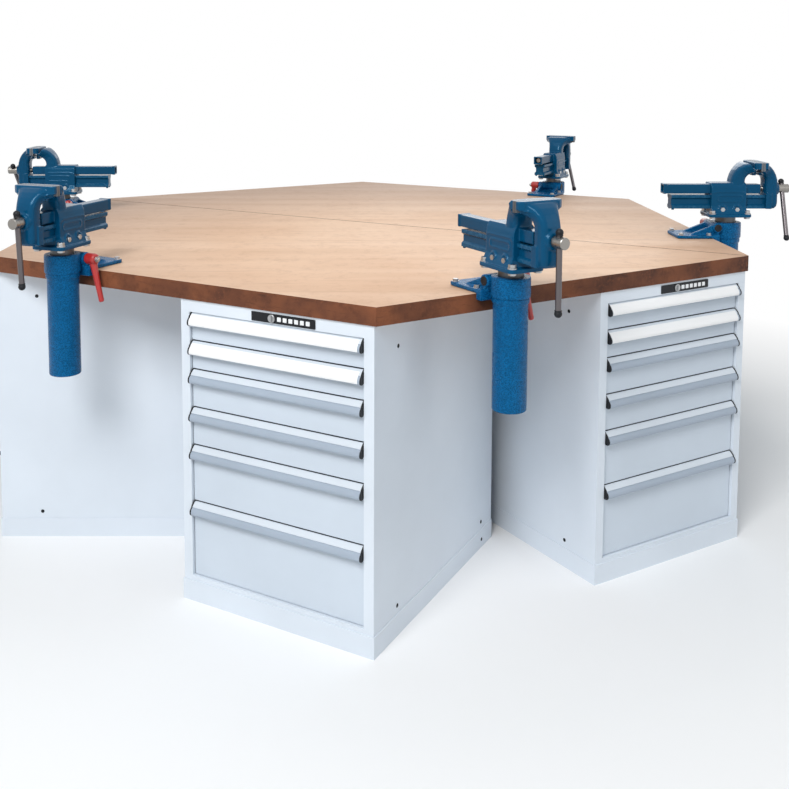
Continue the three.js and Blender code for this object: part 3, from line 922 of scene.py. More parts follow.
def place(name: str, mesh: bpy.types.Mesh, matrix: Matrix, body: str, nodes: Sequence[str],
          slot: str) -> None:
    """Puts a finished mesh in its place, on its body.

    Args:
        name: The piece's name.
        mesh: Its mesh, in metres.
        matrix: Where its axes lie in the bench's frame.
        body: The body that carries it.
        nodes: The nodes that it stands for.
        slot: The record's material slot; not used.
    """
    piece = bpy.data.objects.new(name, mesh)
    bpy.context.scene.collection.objects.link(piece)
    piece.matrix_world = matrix
    even = piece.modifiers.new("even_normals", "WEIGHTED_NORMAL")
    even.keep_sharp = True
    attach(piece, body)
    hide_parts(*nodes)
    LOG.info("%s on %s, %d faces", name, body, len(mesh.polygons))


def packed(node: str, axes: Matrix) -> bmesh.types.BMesh:
    """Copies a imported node's mesh, to be dressed.

    Args:
        node: The node's name.
        axes: The sub-assembly's axes in the bench's frame.

    Returns:
        The shape in those axes, in millimetres.
    """
    shape = bmesh.new()
    shape.from_mesh(frame["nodes"][node].data)
    moved(shape, axes.inverted())
    bmesh.ops.scale(shape, vec=(1 / MM,) * 3, verts=shape.verts)
    return shape


def turn_z(angle: float) -> Matrix:
    """Gives a turn about the upright axis, in radians."""
    return Matrix.Rotation(angle, 4, "Z")


@dataclass
class Bench:
    """The hexagon that everything hangs on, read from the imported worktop."""

    centre: Vector
    apothem: float
    top: float

    @classmethod
    def from_frame(cls) -> "Bench":
        """Reads the hexagon.

        Returns:
            The bench, its sizes in millimetres and its centre in metres.
        """
        corners = [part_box(f"worktop_{half}_half") for half in ("front", "rear")]
        low = Vector([min(c[0][i] for c in corners) for i in range(3)])
        high = Vector([max(c[1][i] for c in corners) for i in range(3)])
        middle = (low + high) / 2
        return cls(Vector((middle.x, middle.y, 0)), (high.x - low.x) / 2 / MM, high.z / MM)

    @property
    def side(self) -> float:
        """Length of one side in millimetres."""
        return self.apothem / math.cos(math.pi / SIDES)

    def angle(self, number: int) -> float:
        """Direction of a side's outward normal, in radians."""
        return (number - SIDE_FACING_X) * 2 * math.pi / SIDES

    def at(self, number: int, u: float, v: float) -> Matrix:
        """Gives axes at a point of one side.

        Args:
            number: The side's number.
            u: Distance out from the centre.
            v: Distance along the side from its middle.

        Returns:
            The axes' matrix in metres.
        """
        turn = turn_z(self.angle(number))
        return Matrix.Translation(self.centre) @ turn @ Matrix.Translation((u * MM, v * MM, 0))


@dataclass
class Worktop:
    """Two halves of oiled beech, eased along every edge."""

    bench: Bench
    ease: float = 1.6
    seam_reach: float = 1.2
    upright_below: float = 0.6
    line_width: float = 5.5
    line_gap: float = 0.4
    line_inset: float = 3.0
    line_proud: float = 0.15

    def build(self) -> None:
        """Builds both halves from their nodes."""
        across = Vector((math.sin(math.pi / SIDES), math.cos(math.pi / SIDES), 0))
        for half in ("front", "rear"):
            node = f"worktop_{half}_half"
            shape = softened(packed(node, Matrix.Identity(4)), self.ease, 3)
            piece = Piece(f"worktop_{half}")
            piece.finishes = [WORKTOP_FACE, WORKTOP_EDGE, WORKTOP_SEAM_SHADE]
            shape.normal_update()
            for face in shape.faces:
                face.smooth = True
                offset = face.calc_center_median() - self.bench.centre / MM
                at_seam = abs(offset.dot(across)) < self.ease * self.seam_reach
                upright = abs(face.normal.z) < self.upright_below
                # Faces at the seam take the dark seam finish, painted shade in the joint.
                finish = WORKTOP_SEAM_SHADE if at_seam else WORKTOP_EDGE if upright else WORKTOP_FACE
                face.material_index = piece.finishes.index(finish)
            append(piece.mesh, shape)
            # The front half also carries a thin dark strip along the seam: painted shade of the joint.
            if half == "front":
                piece.add(self.seam_shade_line(), WORKTOP_SEAM_SHADE)
            place(piece.name, piece.skin(), Matrix.Identity(4), ROOT, [node], "beech")

    def seam_shade_line(self) -> bmesh.types.BMesh:
        """Makes the dark line of painted shade along the seam, on the front half's side.

        Returns:
            A closed shape in the bench's frame.
        """
        reach = self.bench.side - self.line_inset
        top = self.bench.top
        line = block((-reach, -self.line_width, top - 1), (reach, -self.line_gap, top + self.line_proud))
        middle = self.bench.centre / MM
        return moved(line, Matrix.Translation(middle) @ turn_z(-math.pi / SIDES))


@dataclass
class Handle:
    """Aluminium strip along the top of a drawer front: a sloping top, a label face and a curled lip."""

    height: float = 34.0
    bow_wall: Point = (2.4, 0.6)
    strip_wall: Point = (2.0, 1.6)
    label_wall: Point = (1.2, 0.3)
    ease: float = 0.3
    cap: float = 4.0
    cap_ease: float = 0.7
    cap_proud: float = 0.8
    cap_foot: float = 9.0
    cap_sunk: float = 1.0
    label_inset: Point = (1.0, 6.0)
    strip: tuple[Point, ...] = ((0.0, 0.0), (3.0, -0.4), (11.6, -8.6), (13.4, -11.6))
    bow: tuple[Point, ...] = ((13.6, -12.8), (17.4, -16.0), (19.6, -20.0), (20.6, -24.0), (20.2, -28.0),
                              (18.4, -31.4), (15.0, -33.6))
    label: tuple[Point, ...] = ((7.6, -4.2), (14.0, -11.0), (18.0, -15.6), (20.3, -20.0), (21.2, -24.0),
                                (20.8, -28.0), (19.4, -30.8))

    def sheet(self) -> list[Point]:
        """Gives the closed outline of the lower, bowed face."""
        return list(self.bow) + [(u - self.bow_wall[0], z + self.bow_wall[1]) for u, z in reversed(self.bow)]

    def filled(self) -> list[Point]:
        """Gives the outline of an end cap, a little proud of the strip and the bow.

        Returns:
            The closed outline, in (u, z) from the front's upper edge.
        """
        proud, sunk = self.cap_proud, -self.cap_sunk
        line = [(u + proud, z + proud) for u, z in self.strip] + [(u + proud, z) for u, z in self.bow]
        return [(sunk, proud)] + line + [(self.cap_foot, -self.height), (sunk, -self.height * 0.8)]

    def build(self, piece: Piece, face: float, half: float, top: float, labelled: bool) -> None:
        """Adds the strip, its end caps and its label to a drawer.

        Args:
            piece: The drawer.
            face: The drawer front's face.
            half: Half the front's width.
            top: The front's top edge.
            labelled: Whether a label strip lies in the face.
        """
        def at(points: list[Point]) -> list[Point]:
            """Moves an outline to the front's upper edge."""
            return [(face + u, top + z) for u, z in points]

        ends = (-half + self.cap, half - self.cap)
        under = [(u - self.strip_wall[0], z - self.strip_wall[1]) for u, z in reversed(self.strip)]
        # The top strip takes the lighter copy: painted highlight on its upward face.
        piece.add(softened(prism(at(list(self.strip) + under), *ends, Axis.V), self.ease), HANDLE_LIT_STRIP)
        piece.add(softened(prism(at(self.sheet()), *ends, Axis.V), self.ease), HANDLE_METAL)
        for side in (-1, 1):
            low, high = sorted((side * half, side * (half - self.cap)))
            piece.add(softened(prism(at(self.filled()), low, high, Axis.V), self.cap_ease), BLACK_PLASTIC_AND_GAP_SHADE)
        if labelled:
            back = [(u - self.label_wall[0], z + self.label_wall[1]) for u, z in reversed(self.label)]
            start, end = ends[0] + self.label_inset[0], ends[1] - self.label_inset[1]
            label = prism(at(list(self.label) + back), start, end, Axis.V)
            piece.add(softened(label, 0.2, 1), LABEL_PAPER)


@dataclass
class Drawer:
    """A drawer: pressed front, handle strip and sheet-steel box."""

    bottom: float
    top: float
    front_half: float
    box_half: float
    labelled: bool
    face: float = -8.0
    thick: float = 18.0
    gap: float = 1.5
    box_length: float = 640.0
    wall: float = 2.0
    box_foot: float = 12.3
    headroom: float = 15.0
    rim: float = 5.0
    rim_ease: float = 1.0
    ease: float = 1.6
    # Black strips in the gaps round the front: painted shade of the gaps between drawers.
    gap_shade_rise: float = 0.9
    gap_shade_lap: float = 0.3
    gap_shade_inset: float = 1.5
    gap_shade_back: float = 2.0
    rib_pitch: float = 34.0
    rib_length: float = 3.0
    rib_proud: float = 1.5

    def build(self, piece: Piece, with_box: bool) -> None:
        """Adds the drawer to a piece.

        Args:
            piece: The piece that it becomes part of.
            with_box: Whether its box can ever be seen.
        """
        low, high = self.bottom + self.gap, self.top - self.gap
        front = block((self.face - self.thick, -self.front_half, low), (self.face, self.front_half, high))
        piece.add(softened(front, self.ease, 3), FRONT_COAT)
        self.build_gap_shades(piece, low, high)
        Handle().build(piece, self.face, self.front_half, high, self.labelled)
        if with_box:
            self.build_box(piece)

    def build_gap_shades(self, piece: Piece, low: float, high: float) -> None:
        """Adds black strips of painted shade in the gaps along the front's top and side edges.

        Args:
            piece: The drawer.
            low: The front's lower edge.
            high: The front's upper edge.
        """
        back, front = self.face - self.thick + self.gap_shade_back, self.face - self.gap_shade_inset
        half, lap = self.front_half, self.gap_shade_lap
        # Painted shade in the top gap and the two side gaps.
        piece.add(block((back, -half, high - lap), (front, half, high + self.gap_shade_rise)), BLACK_PLASTIC_AND_GAP_SHADE)
        for side in (-1, 1):
            v0, v1 = sorted((side * (half - lap), side * (half + self.gap_shade_rise)))
            piece.add(block((back, v0, low), (front, v1, high)), BLACK_PLASTIC_AND_GAP_SHADE)

    def build_box(self, piece: Piece) -> None:
        """Adds the box: floor, four walls with rolled rims and ribbed sides.

        Args:
            piece: The drawer.
        """
        back = self.face - self.thick - self.box_length
        front = self.face - self.thick
        floor = self.bottom + self.box_foot
        rim = self.top - self.headroom
        half, wall = self.box_half, self.wall
        piece.add(block((back, -half, floor), (front, half, floor + wall)), BOX_COAT)
        for side in (-1, 1):
            inner, outer = sorted((side * half, side * (half - wall)))
            piece.add(block((back, inner, floor), (front, outer, rim)), BOX_COAT)
            low, high = sorted((side * half, side * (half - self.rim)))
            roll = block((back, low, rim - self.rim / 2), (front, high, rim))
            piece.add(softened(roll, self.rim_ease), BOX_COAT)
            self.build_ribs(piece, side, floor, rim)
        for u in (back, front - wall):
            piece.add(block((u, -half, floor), (u + wall, half, rim)), BOX_COAT)
        roll = block((back, -half, rim - self.rim / 2), (back + self.rim, half, rim))
        piece.add(softened(roll, self.rim_ease), BOX_COAT)

    def build_ribs(self, piece: Piece, side: int, floor: float, rim: float) -> None:
        """Adds the upright pressed ribs that hold dividers along one side wall.

        Args:
            piece: The drawer.
            side: -1 or 1, the side of the box.
            floor: Height of the box's underside.
            rim: Height of its rim.
        """
        count = int(self.box_length // self.rib_pitch)
        start = self.face - self.thick - self.box_length + self.rib_pitch / 2
        inside = self.box_half - self.wall
        low, high = sorted((side * inside, side * (inside - self.rib_proud)))
        for i in range(count):
            u = start + i * self.rib_pitch
            rib = block((u, low, floor + self.wall), (u + self.rib_length, high, rim - self.rim))
            piece.add(rib, BOX_COAT)


@dataclass
class Cabinet:
    """A drawer cabinet at the right end of one side of the bench."""

    number: int
    bench: Bench
    opens: bool
    width: float = 564.0
    inset: float = 4.5
    corner_gap: float = 7.0
    stile: float = 27.0
    plinth: float = 55.0
    bottom_rail: float = 13.0
    heights: tuple[float, ...] = (200.0, 150.0, 100.0, 100.0, 75.0, 75.0)
    labelled_rows: int = 2
    front_gap: float = 1.5
    box_gap: float = 4.0
    ease: float = 1.2

    @property
    def axes(self) -> Matrix:
        """The cabinet's axes, at the middle of its front on the floor."""
        v = self.bench.side / 2 - self.corner_gap - self.width / 2
        return self.bench.at(self.number, self.bench.apothem - self.inset, v)

    def build(self) -> None:
        """Builds the housing with its fittings, and the drawers."""
        self.build_housing()
        bottom = self.plinth + self.bottom_rail
        rows = len(self.heights)
        half = self.width / 2 - self.stile
        stack = Piece(f"cabinet_{self.number}_closed_drawers")
        for i, height in enumerate(self.heights):
            row = rows - i
            drawer = Drawer(bottom, bottom + height, half - self.front_gap, half - self.box_gap,
                            row <= self.labelled_rows)
            bottom += height
            if self.opens:
                node = f"cabinet_{self.number}_drawer_{row}"
                piece = Piece(f"{node}_dressed")
                drawer.build(piece, True)
                place(piece.name, piece.skin(), self.axes, node, [node], "drawer_front")
            else:
                drawer.build(stack, False)
        if self.opens:
            stack.mesh.free()
        else:
            node = f"cabinet_{self.number}_drawers"
            place(stack.name, stack.skin(), self.axes, ROOT, [node], "drawer_front")

    def build_housing(self) -> None:
        """Builds the housing from its node, eased, with plugs and the lock plate."""
        node = f"cabinet_{self.number}_housing"
        piece = Piece(f"{node}_dressed")
        piece.add(softened(packed(node, self.axes), self.ease), HOUSING_COAT)
        Plugs().build(piece, self.width / 2)
        LockPlate().build(piece)
        place(piece.name, piece.skin(), self.axes, ROOT, [node], "cabinet_grey")


@dataclass
class Plugs:
    """Black plugs that close the fixing holes in a housing's sides."""

    radius: float = 5.2
    proud: float = 1.4
    places: tuple[Point, ...] = ((-120.0, 725.0), (-120.0, 76.0), (-648.0, 76.0))
    plinth_place: Point = (-648.0, 24.0)
    plinth_proud: float = 2.5

    def build(self, piece: Piece, half: float) -> None:
        """Adds the plugs to both sides.

        Args:
            piece: The housing.
            half: Half the housing's width.
        """
        for side in (-1, 1):
            for u, z in self.places:
                self.plug(piece, u, side * half, z, side)
            u, z = self.plinth_place
            self.plug(piece, u, side * (half + self.plinth_proud), z, side)

    def plug(self, piece: Piece, u: float, v: float, z: float, side: int) -> None:
        """Adds one domed plug.

        Args:
            piece: The housing.
            u: Place from the front.
            v: The sheet's face.
            z: Height.
            side: -1 or 1, the way it faces.
        """
        r, p = self.radius, self.proud
        shape = turned([(0, -1), (r, -1), (r, p * 0.4), (r * 0.8, p * 0.9), (0, p)], 24, Axis.V)
        if side < 0:
            moved(shape, Matrix.Rotation(math.pi, 4, "Z"))
        piece.add(shifted(shape, u, v, z), BLACK_PLASTIC_AND_GAP_SHADE)


@dataclass
class LockPlate:
    """Black code-lock plate in the top rail, with a round knob and a row of keys."""

    left: float = -60.0
    right: float = 124.0
    low: float = 771.0
    high: float = 794.0
    thick: float = 2.5
    corner: float = 1.5
    ease: float = 0.6
    knob_radius: float = 10.0
    key_first: float = 22.0
    key_pitch: float = 16.4
    key_half: float = 5.4
    keys: int = 6

    def build(self, piece: Piece) -> None:
        """Adds the lock to a housing.

        Args:
            piece: The housing.
        """
        middle = ((self.left + self.right) / 2, (self.low + self.high) / 2)
        half_v, half_z = (self.right - self.left) / 2, (self.high - self.low) / 2
        outline = rounded_outline(half_v, half_z, self.corner, middle)
        piece.add(softened(prism(outline, -1, self.thick, Axis.U), self.ease), BLACK_PLASTIC_AND_GAP_SHADE)
        r, t = self.knob_radius, self.thick
        knob = turned([(0, t - 1), (r, t - 1), (r, t + 2.2), (r - 0.8, t + 3), (r - 2.5, t + 3),
                       (r - 3, t + 2.4), (0, t + 2.4)], 40, Axis.U)
        piece.add(shifted(knob, 0, 0, middle[1]), ZINC)
        grip = prism(rounded_outline(1.7, r - 2.5, self.corner), t + 2, t + 6, Axis.U)
        piece.add(shifted(softened(grip, self.ease), 0, 0, middle[1]), ZINC)
        for i in range(self.keys):
            outline = rounded_outline(self.key_half, self.key_half, 1.2)
            key = softened(prism(outline, t - 1, t + 1.2, Axis.U), 0.5)
            piece.add(shifted(key, 0, self.key_first + i * self.key_pitch, middle[1]), KEY_PLASTIC)


@dataclass
class Lift:
    """Height-adjusting lift: hammered sleeve, clamp collar, edge bracket, post and clamp lever."""

    edge: float = -57.0
    sleeve_radius: float = 42.0
    sleeve_drop: float = 279.0
    collar_radius: float = 48.0
    collar_rise: float = 48.0
    bore: float = 31.6
    post_radius: float = 31.0
    bracket_half: float = 60.0
    bracket_reach: float = 113.0
    plate: float = 10.0
    plate_corner: float = 12.0
    plate_lift: float = 0.6
    apron_drop: float = 15.5
    apron_front: float = 20.0
    rib_reach: float = 66.0
    rib_inner: float = 28.0
    rib_outer: float = 41.0
    screw_tail: float = 13.0
    screw_edge: float = 12.0
    screw_half: float = 48.0
    boss_out: float = 40.0
    boss_half: float = 50.0
    boss_radius: float = 16.0
    clamp_rise: float = 33.0
    lever_crank: float = 15.0
    lever_profile: tuple[Point, ...] = ((0, -118), (5.0, -117.4), (6.8, -115), (7.3, -111), (7.0, -106),
                                        (8.4, -50), (10.2, -12), (10.5, 0), (0, 2))

    def column(self, top: float) -> bpy.types.Mesh:
        """Builds the sleeve, collar, bracket and their screws.

        Args:
            top: Height of the worktop.

        Returns:
            The column's mesh.
        """
        piece = Piece("lift_column")
        piece.add(shifted(self.sleeve(), 0, 0, top), LIFT_ENAMEL)
        piece.add(shifted(LIFT_SKIN.cast(self.bracket_shapes()), 0, 0, top), LIFT_ENAMEL)
        self.add_fittings(piece, top)
        return piece.skin()

    def sleeve(self) -> bmesh.types.BMesh:
        """Turns the sleeve and its collar, with the joint's grooves; heights from the worktop.

        Returns:
            A closed shape.
        """
        r, c, bore = self.sleeve_radius, self.collar_radius, self.bore
        foot, rise = -self.sleeve_drop, self.collar_rise
        tube = [(bore, foot), (r - 2.5, foot), (r - 0.7, foot + 0.8), (r, foot + 3), (r, -21)]
        groove = [(r + 0.5, -18), (r + 2.6, -15), (r + 3.2, -12), (r + 3.2, -6), (r + 2.4, -4.5),
                  (r + 2.4, -3)]
        collar = [(c - 0.8, -1), (c, 2), (c, rise - 3.5), (c - 1.0, rise - 1.0), (c - 3.5, rise),
                  (bore + 1, rise), (bore, rise - 1)]
        return turned(tube + groove + collar, 72)

    def bracket_shapes(self) -> list[bmesh.types.BMesh]:
        """Gives the overlapping shapes of the edge bracket; heights from the worktop.

        Returns:
            Closed shapes for the casting.
        """
        edge, half = self.edge, self.bracket_half
        tail = edge - self.bracket_reach
        low, high = self.plate_lift, self.plate_lift + self.plate
        plate = rounded_outline((edge - tail) / 2, half, self.plate_corner, ((tail + edge) / 2, 0))
        end, radius = self.boss_half - 0.5, self.boss_radius
        boss = turned([(0, -end), (radius, -end), (radius, end), (0, end)], 40, Axis.V)
        shapes = [prism(plate, low, high, Axis.Z),
                  block((edge - 8, -half, low), (edge + 12, half, high)),
                  block((edge + 0.6, -half, -self.apron_drop), (edge + self.apron_front, half, high + 3)),
                  shifted(boss, -self.boss_out, 0, self.clamp_rise)]
        toe = edge - self.rib_reach
        rib = [(toe, high - 2), (-34, high - 2), (-34, 45), (-48, 44.5), (-60, 38), (toe, high + 2)]
        for side in (-1, 1):
            v0, v1 = sorted((side * self.rib_inner, side * self.rib_outer))
            shapes.append(prism(rib, v0, v1, Axis.V))
        return shapes

    def add_fittings(self, piece: Piece, top: float) -> None:
        """Adds the plate's screws and the clamp bolt's black cap.

        Args:
            piece: The column.
            top: Height of the worktop.
        """
        tail = self.edge - self.bracket_reach
        seat = top + 0.4 + self.plate
        for u in (tail + self.screw_tail, self.edge - self.screw_edge):
            for v in (-self.screw_half, self.screw_half):
                washer = turned([(0, -1), (9.5, -1), (9.5, 1.2), (8.8, 1.7), (0, 1.7)], 28)
                piece.add(shifted(washer, u, v, seat), ZINC)
                piece.add(shifted(hexagon(13, 1.2, 7.2), u, v, seat), ZINC)
        cap = turned([(0, -1), (11.5, -1), (11.5, 1.2), (10.5, 2), (6.5, 2), (6, 1), (0, 1)], 36, Axis.V)
        moved(cap, Matrix.Rotation(math.pi, 4, "Z"))
        piece.add(shifted(cap, -self.boss_out, -self.boss_half + 0.5, top + self.clamp_rise), BLACK_PLASTIC_AND_GAP_SHADE)

    def post(self, top: float, bottom: float) -> bpy.types.Mesh:
        """Builds the ground post.

        Args:
            top: Its upper end.
            bottom: Its lower end.

        Returns:
            The post's mesh.
        """
        r = self.post_radius
        profile = [(0, bottom), (r - 2, bottom), (r, bottom + 2), (r, top - 1), (r - 1, top), (0, top)]
        piece = Piece("lift_post")
        piece.add(turned(profile, 64), POST_STEEL)
        return piece.skin()

    def lever(self, top: float) -> bpy.types.Mesh:
        """Builds the clamp lever: hub, cranked arm, nut and stud.

        Args:
            top: Height of the worktop.

        Returns:
            The lever's mesh.
        """
        height = top + self.clamp_rise
        start = self.boss_half + 0.3
        hub = turned([(0, start), (13.2, start), (14.6, start + 2), (15, start + 8), (15, start + 27),
                      (13.6, start + 32), (10, start + 34), (0, start + 34)], 40, Axis.V)
        arm = turned(self.lever_profile, 28)
        crank = Matrix.Rotation(math.radians(self.lever_crank), 4, "X")
        moved(arm, Matrix.Translation((0, start + 19, 0)) @ crank)
        piece = Piece("clamp_lever")
        piece.add(shifted(LEVER_SKIN.cast([hub, arm]), -self.boss_out, 0, height), LEVER_RED)
        nut = hexagon(15, start + 33, start + 39.5, Axis.V)
        stud = [(0, start + 32), (4.6, start + 32), (4.6, start + 42), (3.8, start + 43), (0, start + 43)]
        for shape in (nut, turned(stud, 24, Axis.V)):
            piece.add(shifted(shape, -self.boss_out, 0, height), ZINC)
        return piece.skin()


@dataclass
class Vice:
    """Engineer's vice; u runs from the lift's axis, heights from the underside of its foot."""

    foot_half_length: float = 68.0
    foot_half_width: float = 50.0
    foot_thick: float = 10.0
    body_back: float = -58.0
    body_front: float = 53.0
    half_width: float = 31.0
    body_top: float = 108.0
    jaw_plane: float = 93.0
    jaw_top: float = 175.0
    jaw_half: float = 61.5
    jaw_thick: float = 22.5
    ring_centre: Point = (82.0, 103.0)
    ring_radius: float = 76.6
    throat_centre: Point = (84.0, 112.0)
    throat_radius: float = 31.0
    tube_half: float = 16.5
    tube_low: float = 73.0
    tube_high: float = 103.0
    tube_tail: float = -207.0
    tube_front: float = 104.0
    guide_low: float = 25.0
    guide_high: float = 69.0
    guide_tail: float = -182.0
    guide_front: float = 124.0
    wall: float = 4.5
    nose: float = 164.0
    spindle_height: float = 88.0
    head_rows: tuple[Point, ...] = ((147.0, 28.0), (151.5, 45.0), (155.0, 61.5), (175.0, 61.5))
    horn_trim: float = 7.0
    horn_corner: float = 12.0
    head_lap: float = 6.0
    arm_rows: tuple[Point, ...] = ((0, 28), (12, 28), (24, 29), (36, 32), (48, 37.5), (60, 46), (70, 55))
    fixed_foot: tuple[Point, ...] = ((100, 0, 0), (70, 0, 0), (60, 2, 2))
    moving_foot: tuple[Point, ...] = ((95, 0, 0), (42, 0, 0), (32, 2, 2), (25.4, 8, 7))
    grip_half: float = 15.0
    grip_low: float = 131.0
    grip_high: float = 147.0
    plate_gap: float = 4.0
    plate_thick: float = 7.0
    plate_depth: float = 27.0
    plate_shy: float = 0.15
    bolt_place: Point = (55.0, 37.0)
    nut_out: float = 23.0
    side_face: float = 33.0
    screw_tail: float = -195.0
    bar_high: float = 23.0
    bar_low: float = -161.0
    bar_radius: float = 7.0
    ball_radius: float = 9.0

    def head(self, fixed: bool) -> bmesh.types.BMesh:
        """Makes a jaw's head: full width at the top, drawn in to the arm by a hollow curve below.

        Args:
            fixed: Whether it is the fixed jaw's.

        Returns:
            A closed shape.
        """
        way = -1 if fixed else 1
        narrow = self.head_rows[0][1]
        rings = []
        for height, half in self.head_rows:
            arc_out = math.sqrt(self.ring_radius ** 2 - (height - self.ring_centre[1]) ** 2)
            deep = self.ring_centre[0] + way * arc_out
            share = (half - narrow) / (self.jaw_half - narrow)
            horn = self.jaw_plane + way * (self.jaw_thick + self.head_lap)
            outer = deep - way * self.head_lap + (horn - deep) * share
            inner = self.jaw_plane + way * self.plate_gap
            hollow = self.throat_radius ** 2 - (height - self.throat_centre[1]) ** 2
            if hollow > 0:
                edge = self.throat_centre[0] + way * math.sqrt(hollow)
                inner = min(inner, edge) if fixed else max(inner, edge)
            trim, back = outer - way * self.horn_trim, half - self.horn_corner
            corners = ((inner, -half), (trim, -half), (outer, -back),
                       (outer, back), (trim, half), (inner, half))
            rings.append([(u, v, height) for u, v in corners])
        return lofted(rings)

    def arm(self, fixed: bool) -> bmesh.types.BMesh:
        """Makes a jaw's arm, a rounded bar that bends round the throat.

        Args:
            fixed: Whether it is the fixed jaw's.

        Returns:
            A closed shape.
        """
        way = -1 if fixed else 1
        stations = []
        for turn, half in self.arm_rows:
            t = math.radians(turn)
            near = Vector((self.throat_centre[0] + way * self.throat_radius * math.cos(t),
                           self.throat_centre[1] + self.throat_radius * math.sin(t)))
            far = Vector((self.ring_centre[0] + way * self.ring_radius * math.cos(t),
                          min(self.jaw_top - 2, self.ring_centre[1] + self.ring_radius * math.sin(t))))
            stations.append((near, far, half))
        near, far, half = stations[0]
        for height, trim, narrow in self.fixed_foot if fixed else self.moving_foot:
            inner = Vector((near.x + way * trim * 0.4, height))
            outer = Vector((far.x - way * trim, height))
            stations.insert(0, (inner, outer, half - narrow))
        return swept(stations)

    def pipe_grip(self, fixed: bool) -> bmesh.types.BMesh:
        """Makes the small lug under a jaw's head that grips round stock.

        Args:
            fixed: Whether it is the fixed jaw's.

        Returns:
            A closed shape.
        """
        way = -1 if fixed else 1
        start, end = sorted((self.jaw_plane + way * self.plate_gap, self.jaw_plane + way * 17))
        return block((start, -self.grip_half, self.grip_low), (end, self.grip_half, self.grip_high))

    def body_casting(self) -> bmesh.types.BMesh:
        """Casts the foot, trunk, fixed jaw, spindle tube and the raised lines on the trunk's sides.

        Returns:
            One closed skin.
        """
        right = [(44, 6), (40, 20), (33.5, 34), (33, 82), (31, 96), (24, self.body_top)]
        trunk = right + [(-v, z) for v, z in reversed(right)]
        foot = rounded_outline(self.foot_half_length, self.foot_half_width, 13)
        shapes = [prism(foot, 0, self.foot_thick, Axis.Z),
                  prism(trunk, self.body_back, self.body_front, Axis.U),
                  self.arm(True),
                  self.head(True)]
        shapes += self.tube_walls() + [self.pipe_grip(True)]
        for side in (-1, 1):
            shapes += self.side_lines(side)
        return VICE_SKIN.cast(shapes)

    def tube_walls(self) -> list[bmesh.types.BMesh]:
        """Gives the four walls of the square tube, with a lip round its open rear end.

        Returns:
            Closed shapes for the casting.
        """
        start, wall = self.tube_tail, self.wall
        shapes = []
        for end, grow in ((self.tube_front, 0.0), (start + 9, 1.3)):
            h, a, b = self.tube_half + grow, self.tube_low - grow, self.tube_high + grow
            shapes += [block((start, -h, a), (end, h, a + wall)), block((start, -h, b - wall), (end, h, b)),
                       block((start, -h, a), (end, -h + wall, b)), block((start, h - wall, a), (end, h, b))]
        return shapes

    def side_lines(self, side: int) -> list[bmesh.types.BMesh]:
        """Gives the raised oval, the shoulder line and the two nut pockets of one side.

        Args:
            side: -1 or 1.

        Returns:
            Rods for the casting.
        """
        v = side * self.side_face
        oval = [Vector((u, v, z)) for u, z in rounded_outline(40, 9.5, 8, (0, 59))]
        shapes = bead(oval + oval[:1], 2.2)
        sunk = v - side * 0.6
        back, front = self.body_back + 2, self.body_front - 2
        shoulder = ((back, sunk, 77), (-42, v, 80), (40, v, 80), (front, sunk, 74))
        shapes += bead([Vector(point) for point in shoulder], 2.0)
        for u in (-self.nut_out, self.nut_out):
            bow = arc((0, 26), 11, 0, 180, 8)
            pocket = [Vector((u + a, side * (36.0 + (32 - z) * 0.28), z)) for a, z in bow]
            shapes += bead(pocket, 2.4)
        return shapes

    def body(self) -> bpy.types.Mesh:
        """Builds the vice body with its jaw plate, bolts and nuts.

        Returns:
            The body's mesh.
        """
        piece = Piece("vice_body")
        piece.add(self.body_casting(), VICE_ENAMEL)
        face = self.jaw_plane - self.plate_shy
        piece.add(self.jaw_plate(face - self.plate_thick, face), JAW_STEEL)
        washer = [(0, 9), (11, 9), (11, 12.6), (10, 13.2), (0, 13.2)]
        stud = [(0, -6.4), (4, -6.4), (5, -5.4), (5, 0), (0, 0)]
        for u in (-self.bolt_place[0], self.bolt_place[0]):
            for v in (-self.bolt_place[1], self.bolt_place[1]):
                bolt = (hexagon(17, 13, 21), turned(washer, 28), hexagon(17, -5.6, 0.2), turned(stud, 20))
                for shape in bolt:
                    piece.add(shifted(shape, u, v, 0), ZINC)
        for side in (-1, 1):
            for u in (-self.nut_out, self.nut_out):
                nut = hexagon(13, -3, 4.5, Axis.V)
                piece.add(shifted(nut, u, side * 37.5, 24), ZINC)
        return piece.skin()

    def jaw_plate(self, start: float, end: float) -> bmesh.types.BMesh:
        """Makes the hardened plate on a jaw's face, between two places along u."""
        low = (start, -self.jaw_half, self.jaw_top - self.plate_depth)
        return softened(block(low, (end, self.jaw_half, self.jaw_top)), 1.0)

    def jaw(self) -> bpy.types.Mesh:
        """Builds the moving jaw with its guide and jaw plate.

        Returns:
            The jaw's mesh.
        """
        piece = Piece("moving_jaw")
        tip = self.nose
        boss = [(0, tip - 46), (25, tip - 46), (25, tip - 10), (23, tip - 5), (20.5, tip - 1.2), (19, tip),
                (10.2, tip), (10.2, tip - 9), (0, tip - 9)]
        shapes = [self.arm(False), self.head(False), self.pipe_grip(False),
                  shifted(turned(boss, 48, Axis.U), 0, 0, self.spindle_height),
                  block((117, -self.half_width, self.guide_low), (136, self.half_width, 74))]
        piece.add(VICE_SKIN.cast(shapes), VICE_ENAMEL)
        piece.add(self.guide(), VICE_ENAMEL)
        face = self.jaw_plane + self.plate_shy
        piece.add(self.jaw_plate(face, face + self.plate_thick), JAW_STEEL)
        foot = turned([(0, -4), (3.4, -4), (4.2, -3), (4.2, 3), (0, 3)], 20)
        for v in (-16, 16):
            piece.add(shifted(foot.copy(), self.guide_tail + 6, v, self.guide_low), VICE_ENAMEL)
        foot.free()
        return piece.skin()

